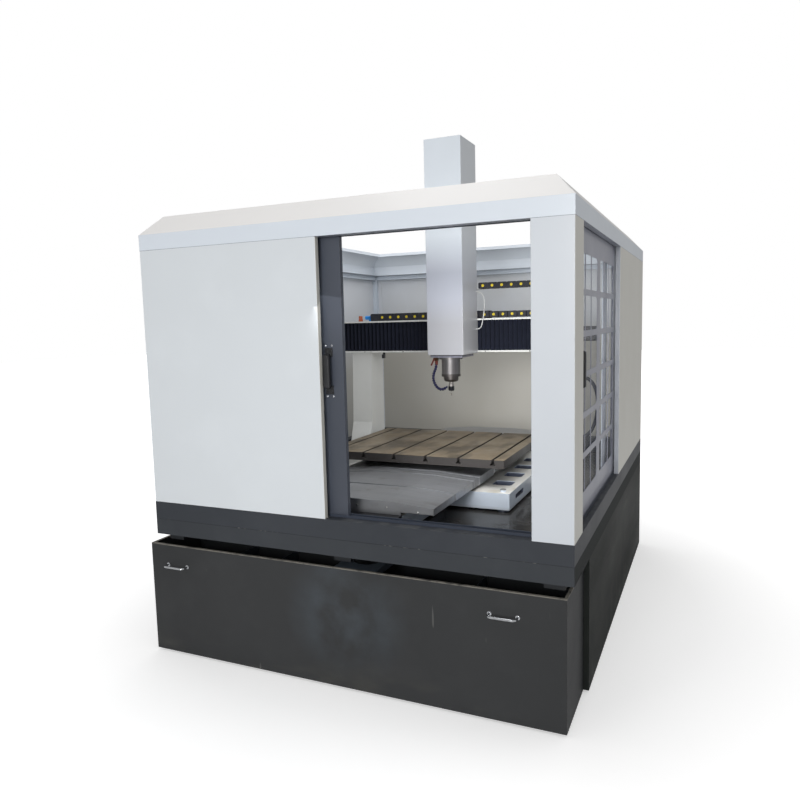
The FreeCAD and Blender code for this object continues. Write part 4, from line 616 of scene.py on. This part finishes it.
# Below 1.8 m, and more below 1.52 m, the cover is laid greyer, as painted shade inside the cabin.
z_powder.lay(z_powder.along(2, 2.0, 1.8), (164, 168, 180), 0.9)
z_powder.lay(z_powder.along(2, 1.66, 1.52), (154, 154, 157), 0.8)
# The right face is laid greyer, as painted shade.
z_powder.lay(z_powder.facing(0, 0.5, 0.95), (184, 184, 184), 0.45)
dress(z_powder, "z_cover")


# --- Ram and spindle
# The ram is a planed iron tube that slides inside the Z cover. Its spindle is a ground cartridge with a
# relieved ring and a rounded nose. The collet nut is black, and a slim cutter stands in it.
spindle_plate_top = 1.344
nose_top = 1.240
collet_nut_top = 1.170

ram_iron = ground_steel("ram_iron", (176, 175, 190), 0.36, (1.0, 1.0, 0.05))
# Above the spindle plate's top the ram is laid dark, as painted shadow in the gap under the Z cover.
ram_iron.lay(ram_iron.along(2, spindle_plate_top - 0.0005, spindle_plate_top + 0.0005), (92, 90, 92), 0.8)
dress(ram_iron, "z_ram")

spindle_steel = Finish("spindle_steel", (160, 157, 158), 0.42, sockets=[("Metallic", 1.0)])
spindle_steel.lay(spindle_steel.noise(120.0, 0.35, 0.7, (1.0, 1.0, 0.06)), (128, 124, 122), 0.55)
spindle_steel.lay(spindle_steel.along(2, nose_top + 0.0012, nose_top), (92, 86, 82), 0.7)
spindle_steel.gloss(spindle_steel.noise(160.0, 0.4, 0.7, (0.2, 0.2, 4.0)), 0.5)
spindle_steel.emboss(spindle_steel.noise(500.0, 0.3, 0.7, (0.1, 0.1, 4.0), 2.0), 0.00003)
dress(spindle_steel, "spindle_housing")

nut_black = Finish("nut_black", (34, 35, 40), 0.34, sockets=[("Metallic", 0.6)])
nut_black.lay(nut_black.noise(120.0, 0.5, 0.7), (60, 60, 66), 0.5)
nut_black.lay(nut_black.along(2, collet_nut_top, collet_nut_top + 0.002), (150, 146, 142), 0.9)
nut_black.grain(600.0, 0.00004)
dress(nut_black, "spindle_shaft")
dress(ground_steel("cutter_steel", (176, 172, 164), 0.24, (1.0, 1.0, 0.1)), "cutting_tool")


# --- Coolant valve and its jointed hose
# A small brass valve under the spindle plate with a painted lever. The hose is a string of moulded
# sockets, each snapped over the ball of the one before it, so that it holds the curve it is bent to.
valve_brass = Finish("valve_brass", (88, 70, 52), 0.4, sockets=[("Metallic", 0.9)])
valve_brass.lay(valve_brass.noise(120.0, 0.45, 0.7), (60, 50, 38), 0.8)
valve_brass.grain(500.0, 0.00006)
dress(valve_brass, "coolant_valve")

lever_red = Finish("lever_red", (96, 40, 30), 0.42)
lever_red.lay(lever_red.noise(160.0, 0.5, 0.7), (70, 34, 28), 0.7)
lever_red.grain(700.0, 0.00004)
dress(lever_red, "valve_lever")

hose_blue = Finish("hose_blue", (26, 27, 62), 0.34, edge=0.0005)
hose_blue.lay(hose_blue.noise(150.0, 0.45, 0.7), (20, 21, 50), 0.7)
hose_blue.gloss(hose_blue.noise(200.0, 0.4, 0.7), 0.46)
hose_blue.grain(900.0, 0.00003)

valve_x = -0.013
valve_bottom = 1.316
hose_y = 0.063
hose_line = [(0.0, 0.0), (0.0, -0.036), (-0.021, -0.078), (-0.020, -0.118), (0.002, -0.156),
             (0.036, -0.168), (0.064, -0.146)]
hose_route = [Vector((valve_x + x, hose_y, valve_bottom + z)) for x, z in hose_line]
hose_joints = 17
hose_radius = 0.0084
socket_profile = [(0.0, -0.54), (0.56, -0.54), (0.64, -0.44), (0.70, -0.28), (0.92, -0.18),
                  (1.0, -0.04), (1.0, 0.28), (0.88, 0.42), (0.62, 0.5), (0.0, 0.5)]
nozzle_profile = [(radius * (0.85 - 0.3 * (height + 0.5)), height) for radius, height in socket_profile]


def smooth_line(name, route, resolution):
    """A curve with one NURBS spline through a route."""
    curve = bpy.data.curves.new(name, "CURVE")
    curve.dimensions = "3D"
    curve.resolution_u = resolution
    spline = curve.splines.new("NURBS")
    spline.points.add(len(route) - 1)
    for point, spot in zip(spline.points, route):
        point.co = (*spot, 1.0)
    spline.order_u = 3
    spline.use_endpoint_u = True
    spline.use_smooth = True
    return curve


def walked(route):
    """The points of the smooth line through a route, and how far along it each of them is."""
    curve = smooth_line("route", route, 24)
    holder = bpy.data.objects.new("route", curve)
    drawn = bpy.data.meshes.new_from_object(holder)
    points = [vertex.co.copy() for vertex in drawn.vertices]
    bpy.data.objects.remove(holder)
    bpy.data.curves.remove(curve)
    bpy.data.meshes.remove(drawn)
    way = [0.0]
    for before, after in zip(points, points[1:]):
        way.append(way[-1] + (after - before).length)
    return points, way


def spot_on(points, way, distance):
    """The point and heading at a distance along a line."""
    index = 1
    while index < len(way) - 1 and way[index] < distance:
        index += 1
    share = (distance - way[index - 1]) / (way[index] - way[index - 1])
    return points[index - 1].lerp(points[index], share), points[index] - points[index - 1]


def jointed_hose(shape):
    """Equal sockets along the route, the last of them drawn in to a nozzle."""
    points, way = walked(hose_route)
    pitch = way[-1] / hose_joints
    for joint in range(hose_joints):
        place, heading = spot_on(points, way, (joint + 0.5) * pitch)
        form = nozzle_profile if joint == hose_joints - 1 else socket_profile
        profile = [(hose_radius * radius, height * pitch) for radius, height in form]
        turned(shape, profile, turned_to(place, heading), 20)


hose = piece("socket_hose", "ram", hose_blue, jointed_hose, smooth=True)
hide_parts("coolant_hose")

hexagon_profile = [(0.0, 0.0), (0.0092, 0.0), (0.0098, 0.001), (0.0098, 0.008), (0.0092, 0.009),
                   (0.0, 0.009)]
cone_profile = [(0.0, 0.009), (0.0088, 0.009), (0.0088, 0.011), (0.0078, 0.024), (0.0, 0.024)]


def hose_nut(shape):
    """Hexagon and cone of the fitting that holds the hose to the valve."""
    top = turned_to(hose_route[0], (0.0, 0.0, -1.0))
    turned(shape, hexagon_profile, top, 6)
    turned(shape, cone_profile, top, 20)


piece("hose_fitting", "ram", lever_red, hose_nut)


# --- Energy chain
# Black moulded links that carry the cables over the beam: side plates with round eyes, cross bars
# clipped over them, and a yellow cap on each pin. One run lies fixed and the other rolls over with X.
lower_links = 14
loop_links = 9
bend_links = 5
upper_links = 6
link_gap = 0.0006
plate_thickness = 0.0040
bar_thickness = 0.0030
bar_spread = 0.27
bar_half = 0.15
cap_radius = 0.0080
cap_depth = 0.0020
cap_rise = 0.0002

chain_plastic = Finish("chain_plastic", (30, 31, 38), 0.42, edge=0.0006)
chain_plastic.lay(chain_plastic.noise(30.0, 0.45, 0.75), (46, 47, 54), 0.6)
chain_plastic.gloss(chain_plastic.noise(60.0, 0.4, 0.7), 0.54)
chain_plastic.grain(700.0, 0.00005)
cap_yellow = Finish("cap_yellow", (214, 190, 34), 0.42, edge=0.0004)
cap_yellow.lay(cap_yellow.noise(60.0, 0.45, 0.75), (178, 160, 30), 0.6)
cap_yellow.grain(500.0, 0.00004)


def link_outline(length, height):
    """Side plate of a link: straight top and bottom, softly rounded ends."""
    corner = height * 0.22
    outline = []
    for centre_u, centre_w, first in ((1, -1, -90), (1, 1, 0), (-1, 1, 90), (-1, -1, 180)):
        for step in range(4):
            angle = math.radians(first + 30.0 * step)
            outline.append((centre_u * (length / 2.0 - corner) + corner * math.cos(angle),
                            centre_w * (height / 2.0 - corner) + corner * math.sin(angle)))
    return outline


def chain_links(name, body, node, places, length, width, height, bare=0):
    """A run of links, one at each place with x along the chain. The first bare of them have no cap."""
    upright = Matrix.Rotation(math.radians(90.0), 4, "X")
    cap_profile = [(0.0, -cap_depth), (cap_radius, -cap_depth), (cap_radius, cap_rise * 0.5),
                   (cap_radius * 0.86, cap_rise), (0.0, cap_rise)]

    def links(shape):
        for place in places:
            for near in (-1.0, 1.0):
                across = near * width / 2.0 + (plate_thickness if near < 0.0 else 0.0)
                side = place @ Matrix.Translation((0.0, across, 0.0)) @ upright
                plate(shape, link_outline(length, height), side, plate_thickness)
            for level in (-1.0, 1.0):
                low = level * height / 2.0 - (bar_thickness if level > 0.0 else 0.0)
                end = width / 2.0 - plate_thickness * 0.5
                for along in (-bar_spread, bar_spread):
                    back, front = (along - bar_half) * length, (along + bar_half) * length
                    bar = [(back, -end), (front, -end), (front, end), (back, end)]
                    plate(shape, bar, place @ Matrix.Translation((0.0, 0.0, low)), bar_thickness)

    def caps(shape):
        for place in places[bare:]:
            for near in (-1.0, 1.0):
                spot = place @ Matrix.Translation((-length * 0.02, near * width / 2.0, 0.0))
                outward = spot @ Matrix.Rotation(math.radians(-90.0 * near), 4, "X")
                turned(shape, cap_profile, outward, 20)

    run = piece(name, body, chain_plastic, links)
    dots = piece(name + "_caps", body, cap_yellow, caps, smooth=True)
    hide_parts(node)
    return run, dots


def straight_places(low, high, count):
    """Places of a straight run's links inside a box, and their pitch."""
    pitch = (high.x - low.x) / count
    middle = (low + high) / 2.0
    line = [(low.x + (step + 0.5) * pitch, middle.y, middle.z) for step in range(count)]
    return [Matrix.Translation(spot) for spot in line], pitch


lower_low, lower_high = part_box("energy_chain_lower")
places, pitch = straight_places(lower_low, lower_high, lower_links)
chain_links("chain_lower_run", "cabinet", "energy_chain_lower", places, pitch - link_gap,
            lower_high.y - lower_low.y, lower_high.z - lower_low.z, bare=1)

loop_low, loop_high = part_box("energy_chain_loop")
upper_low, upper_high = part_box("energy_chain_upper")
link_height = upper_high.z - upper_low.z
bend_x = upper_high.x
bend_radius = (loop_high.z - loop_low.z - link_height) / 2.0
bend_z = loop_low.z + link_height / 2.0 + bend_radius
loop_y = (loop_low.y + loop_high.y) / 2.0
inner_high = Vector((bend_x, loop_high.y, loop_low.z + link_height))
places, pitch = straight_places(loop_low, inner_high, loop_links)
bend_share = math.pi / bend_links
for step in range(bend_links):
    angle = (step + 0.5) * bend_share
    out, down = bend_radius * math.sin(angle), bend_radius * math.cos(angle)
    spot = Vector((bend_x + out, loop_y, bend_z - down))
    places.append(Matrix.Translation(spot) @ Matrix.Rotation(-angle, 4, "Y"))
bend_length = 2.0 * (bend_radius - link_height * 0.1) * math.tan(bend_share / 2.0)
chain_links("chain_rolling_run", "chain_loop", "energy_chain_loop", places,
            min(pitch, bend_length) - link_gap, loop_high.y - loop_low.y, link_height)

places, pitch = straight_places(upper_low, upper_high, upper_links)
upper_run, upper_caps = chain_links("chain_upper_run", None, "energy_chain_upper", places,
                                    pitch - link_gap, upper_high.y - upper_low.y, link_height)
for part in (upper_run, upper_caps):
    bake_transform(part)


# --- Cable conduit and air tube
# A ribbed black conduit leaves one gland on the right column and enters the other, hanging in a bow.
# A thin clear tube comes out of the Z cover's side and goes back in lower down.
def free_cord(name, body, finish, route, diameter, node):
    """One soft line through the route, at its real thickness, in place of the node that it hides."""
    curve = smooth_line(name, route, 16)
    curve.bevel_depth = diameter / 2.0
    curve.bevel_resolution = 6
    curve.use_fill_caps = True
    curve.materials.append(finish.material)
    made = bpy.data.objects.new(name, curve)
    bpy.context.scene.collection.objects.link(made)
    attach(made, body)
    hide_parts(node)


conduit_black = Finish("conduit_black", (26, 28, 38), 0.4)
rings = {"Vector": conduit_black.place, "Scale": 60.0}
conduit_black.lay(conduit_black.noise(40.0, 0.5, 0.75), (44, 46, 56), 0.6)
conduit_black.emboss(conduit_black.node("TexWave", rings, bands_direction="Z").outputs[1], 0.0006)
conduit_y = 0.367
conduit_line = [(0.709, 1.212), (0.755, 1.212), (0.799, 1.184), (0.825, 1.134), (0.835, 1.074),
                (0.831, 1.012), (0.821, 0.952), (0.795, 0.892), (0.755, 0.860), (0.709, 0.860)]
conduit_route = [(x, conduit_y, z) for x, z in conduit_line]
free_cord("conduit", "cabinet", conduit_black, conduit_route, 0.020, "column_conduit")

tube_clear = Finish("tube_clear", (206, 207, 206), 0.28, edge=0.0002,
                    sockets=[("Transmission Weight", 0.25)])
tube_clear.lay(tube_clear.noise(60.0, 0.45, 0.75), (186, 186, 182), 0.6)
tube_clear.grain(500.0, 0.00003)
tube_y = 0.231
tube_line = [(0.1715, 1.700), (0.1935, 1.700), (0.2135, 1.682), (0.2215, 1.648), (0.2205, 1.608),
             (0.2165, 1.568), (0.2095, 1.530), (0.2025, 1.502), (0.1875, 1.488), (0.1715, 1.488)]
tube_route = [(x, tube_y, z) for x, z in tube_line]
free_cord("air_line", "carriage", tube_clear, tube_route, 0.006, "air_tube")


# --- Walls of the cabinet
# Sheet panels folded at their edges and hung on square posts, in white powder coat. Faces turned to the
# right are laid creamy as painted light, the rear panel's front fold and the corner post greyer as
# painted shade, and the low inside warmer and darker as painted shade, with beige clouds on the back
# wall.
# The creamy colour is laid on faces turned to the right, as painted light.
lit_side_cream = (208, 204, 190)
wall_powder = white_powder("wall_powder", (213, 218, 222))
wall_powder.lay(wall_powder.facing(0, 0.4, 0.95), lit_side_cream, 0.75)
# The rear panel's front fold is laid greyer, as painted shade.
shaded_front_fold = wall_powder.both(wall_powder.facing(1, -0.6, -0.95), wall_powder.along(1, -0.6, -0.5))
wall_powder.lay(shaded_front_fold, (164, 168, 176), 0.9)
dress(wall_powder, "front_left_panel", "rear_right_panel")

# The corner post gets a darker copy of the wall powder, as painted shade.
post_powder = white_powder("right_post_powder", (203, 208, 214))
post_powder.lay(post_powder.facing(0, 0.4, 0.95), lit_side_cream, 0.75)
dress(post_powder, "front_right_post")
dress(white_powder("post_powder", (206, 215, 226)), "inner_frame")

inner_powder = white_powder("inner_powder", (208, 212, 218))
faces_in = inner_powder.facing(1, -0.2, -0.8)
# Low down, the inner face is laid warmer and darker as painted shade; beige clouds lie over the whole
# inner face.
inner_powder.lay(inner_powder.both(inner_powder.along(2, 1.56, 1.36), faces_in), (186, 181, 168), 0.75)
inner_powder.lay(inner_powder.both(inner_powder.noise(1.6, 0.4, 0.8), faces_in), (176, 170, 154), 0.35)
dress(inner_powder, "back_wall")

left_powder = white_powder("left_wall_powder", (210, 213, 218))
faces_in = left_powder.facing(0, 0.2, 0.8)
# Low down, the inner face is laid warmer and darker as painted shade.
left_powder.lay(left_powder.both(left_powder.along(2, 1.50, 1.20), faces_in), (184, 182, 172), 0.7)
dress(left_powder, "left_wall")


# --- Sliding doors
# Pressed steel leaves with turned edges and two columns of windows, glazed from behind over thin bars, in
# one blue-grey enamel, darker on the front leaf as painted shade and paler on the side leaf as painted
# light. The black bow handles stand on screwed feet.
def leaf_enamel(name, colour, cloud_colour, roughness, coat):
    """Sprayed enamel of a leaf: wide soft clouds, an uneven shine and fine orange peel."""
    enamel = Finish(name, colour, roughness, edge=0.002, sockets=[("Coat Weight", coat)])
    enamel.lay(enamel.noise(1.4, 0.35, 0.75), cloud_colour, 0.8)
    enamel.gloss(enamel.noise(4.0, 0.4, 0.7), roughness + 0.1)
    enamel.grain(480.0, 0.00004, 0.3, detail=1.0)
    return enamel


# The two leaves share one paint: the front leaf's darker copy is painted shade, the side leaf's paler
# copy painted light.
door_enamel = leaf_enamel("door_enamel", (68, 73, 84), (60, 65, 75), 0.36, 0.15)
door_enamel.lay(door_enamel.specks(10.0, 0.0016, 0.12), (132, 134, 138), 0.6)
dress(door_enamel, "front_door_leaf")
dress(leaf_enamel("side_door_enamel", (142, 144, 158), (132, 133, 147), 0.32, 0.25), "side_door_leaf")

glazing = Finish("door_glazing", (206, 212, 220), 0.06, sockets=[("Alpha", 0.08)])
glazing.lay(glazing.noise(2.0, 0.5, 0.8), (224, 224, 222), 0.6)
glazing.gloss(glazing.noise(5.0, 0.5, 0.75), 0.14)
dress(glazing, "front_door_glazing", "side_door_glazing")

handle_black = Finish("handle_black", (30, 31, 34), 0.4, edge=0.0025)
handle_black.lay(handle_black.noise(30.0, 0.5, 0.75), (48, 48, 52), 0.6)
handle_black.grain(600.0, 0.00006, 0.3)
dress(handle_black, "front_door_handle", "side_door_handle")

track_paint = charcoal_paint("track_paint", (60, 66, 78))
# Faces turned upwards are laid paler and bluer, as painted light.
track_paint.lay(track_paint.facing(2, 0.6, 0.95), (96, 104, 118), 0.5)
dress(track_paint, "door_tracks")

screw_bright = ground_steel("screw_bright", (196, 198, 202), 0.26)
leaf_screw_radius = 0.0044
leaf_screw_head = 0.0016
leaf_screw_spread = 0.0145
leaf_screw_gap = 0.009
grip_edge = [(0.0135, 0.0178), (0.015, 0.021), (0.0145, 0.028), (0.010, 0.0312)]
grip_end_gap = 0.030


def handle_details(body, handle, facing):
    """The wide moulded grip over a handle's bar, and the bright screws over and under its feet."""
    low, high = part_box(handle)
    facing = Vector(facing)
    across = Vector((-facing.y, facing.x, 0.0))
    depth = abs((high - low).dot(facing))
    skin = (low + high) / 2.0 - facing * depth / 2.0

    def grip(shape):
        upright = Matrix((across, facing, (0.0, 0.0, 1.0))).transposed().to_4x4()
        left = [(-u, v) for u, v in grip_edge]
        outline = grip_edge + [(0.0, depth - 0.0002)] + left[::-1]
        half = (high.z - low.z) / 2.0 - grip_end_gap
        plate(shape, outline, Matrix.Translation(skin - Vector((0.0, 0.0, half))) @ upright, 2.0 * half)

    def screws(shape):
        reach = (high.z - low.z) / 2.0 + leaf_screw_gap
        for sideways in (-leaf_screw_spread, leaf_screw_spread):
            for up in (-reach, reach):
                spot = skin + across * sideways + Vector((0.0, 0.0, up))
                domed_head(shape, turned_to(spot, facing), leaf_screw_radius, leaf_screw_head)

    piece(body + "_grip", body, handle_black, grip)
    piece(body + "_screws", body, screw_bright, screws, smooth=True)


handle_details("front_door", "front_door_handle", (0.0, -1.0, 0.0))
handle_details("side_door", "side_door_handle", (1.0, 0.0, 0.0))

side_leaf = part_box("side_door_leaf")
slot_black = Finish("slot_black", (20, 20, 23), 0.6)
slot_black.lay(slot_black.noise(80.0, 0.5, 0.75), (36, 36, 40), 0.6)
slot_black.grain(600.0, 0.00004, 0.3)
plate_outline = [(-0.022, -0.004), (0.022, -0.004), (0.025, 0.0), (0.022, 0.004), (-0.022, 0.004),
                 (-0.025, 0.0)]
plate_places = [(0.075, 0.905), (0.155, 0.905)]
plate_depth = 0.0012
lock_profile = [(0.0, 0.0), (0.013, 0.0), (0.013, 0.002), (0.010, 0.0035), (0.004, 0.0035),
                (0.004, 0.001), (0.0, 0.001)]
lock_place = (0.05, 0.868)


def lock_details(shape):
    """Two short slotted plates and the round cylinder of a lock, low on the side door."""
    facing = Matrix.Rotation(math.radians(90.0), 4, "Z") @ Matrix.Rotation(math.radians(90.0), 4, "X")
    corner = Vector((side_leaf[1].x, side_leaf[0].y, 0.0))
    for along, up in plate_places:
        spot = corner + Vector((0.0, along, up))
        plate(shape, plate_outline, Matrix.Translation(spot) @ facing, plate_depth)
    spot = corner + Vector((0.0, *lock_place))
    turned(shape, lock_profile, turned_to(spot, (1.0, 0.0, 0.0)), 24)


piece("side_door_lock", "side_door", slot_black, lock_details, smooth=True)


# --- Roof collar
# Four mitred lengths of folded sheet round the open roof. The sloped tops catch the light and look
# creamy, the upright band is cooler, and a thin shadow line parts the band from the panels under it.
band_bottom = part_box("roof_collar")[0].z
roof_powder = white_powder("roof_powder", (215, 222, 230))
roof_powder.lay(roof_powder.facing(2, 0.3, 0.6), (232, 230, 228), 0.95)
roof_powder.lay(roof_powder.along(2, band_bottom + 0.0022, band_bottom + 0.0008), (118, 124, 136), 0.9)
dress(roof_powder, "roof_collar")


# --- Studio
# A plain pale floor, soft square lamps in front, over the open roof and inside the doorway, and a white
# surround that the camera sees, glass lets through and the shiny pieces mirror at under half its light.
floor_size = 30.0
floor_mesh = bpy.data.meshes.new("floor")
corners = [(x * floor_size, y * floor_size, 0.0) for x, y in ((-1, -1), (1, -1), (1, 1), (-1, 1))]
floor_mesh.from_pydata(corners, [], [(0, 1, 2, 3)])
floor = bpy.data.objects.new("floor", floor_mesh)
bpy.context.scene.collection.objects.link(floor)

floor_pale = Finish("floor_pale", (236, 236, 236), 0.9)
floor_pale.lay(floor_pale.noise(0.8, 0.3, 0.8), (230, 230, 230), 0.5)
seen = floor_pale.node("LightPath").outputs["Is Camera Ray"]
away = floor_pale.node("VectorMath", {0: floor_pale.place}, operation="LENGTH").outputs["Value"]
glow = floor_pale.node("MapRange", {"Value": away, "From Min": 1.4, "From Max": 4.5,
                                    "To Min": 0.42, "To Max": 1.0}).outputs[0]
lift = floor_pale.node("Emission", {"Color": (1.0, 1.0, 1.0, 1.0),
                                    "Strength": floor_pale.both(seen, glow)})
total = floor_pale.node("AddShader", {0: floor_pale.shader.outputs[0], 1: lift.outputs[0]})
floor_pale.feed(floor_pale.tree.nodes["Material Output"].inputs["Surface"], total.outputs[0])
floor_mesh.materials.append(floor_pale.material)

world = bpy.data.worlds.new("surround")
bpy.context.scene.world = world
world.use_nodes = True
sky = world.node_tree
background = sky.nodes["Background"]
background.inputs["Color"].default_value = (1.0, 1.0, 1.0, 1.0)
path = sky.nodes.new("ShaderNodeLightPath")
surround_light = 0.52
before = None
for ray, strength in (("Is Glossy Ray", 0.42), ("Is Transmission Ray", 1.0), ("Is Camera Ray", 1.0)):
    choose = sky.nodes.new("ShaderNodeMix")
    sky.links.new(path.outputs[ray], choose.inputs[0])
    choose.inputs[2].default_value = surround_light
    choose.inputs[3].default_value = strength
    if before is not None:
        sky.links.new(before, choose.inputs[2])
    before = choose.outputs[0]
sky.links.new(before, background.inputs["Strength"])

# Each lamp: its name, its place, what it points at, its width, its watts and its spread in degrees.
lamps = (
    ("lamp_front", (1.0, -9.0, 2.3), (0.0, 0.0, 1.0), 3.0, 42.0, 60.0),
    ("lamp_top", (-0.3, 0.3, 4.8), (0.0, 0.0, 0.8), 2.6, 40.0, 180.0),
    ("lamp_header", (0.3, -0.9, 1.82), (0.1, 0.3, 0.6), 0.8, 1.6, 150.0),
    ("lamp_roof", (-0.4, 0.75, 2.35), (-0.3, 0.7, 0.0), 1.0, 5.0, 180.0),
    ("lamp_low", (0.60, -0.66, 1.36), (-0.6, 0.6, 0.95), 0.5, 7.0, 180.0),
)
for name, place, aim, size, power, spread in lamps:
    lamp = bpy.data.lights.new(name, "AREA")
    lamp.size = size
    lamp.energy = power
    lamp.spread = math.radians(spread)
    held = bpy.data.objects.new(name, lamp)
    held.location = place
    held.visible_camera = False
    held.visible_glossy = name in ("lamp_front", "lamp_top")
    held.rotation_mode = "QUATERNION"
    held.rotation_quaternion = (Vector(aim) - Vector(place)).to_track_quat("-Z", "Y")
    bpy.context.scene.collection.objects.link(held)

bpy.context.scene.view_settings.view_transform = "Standard"
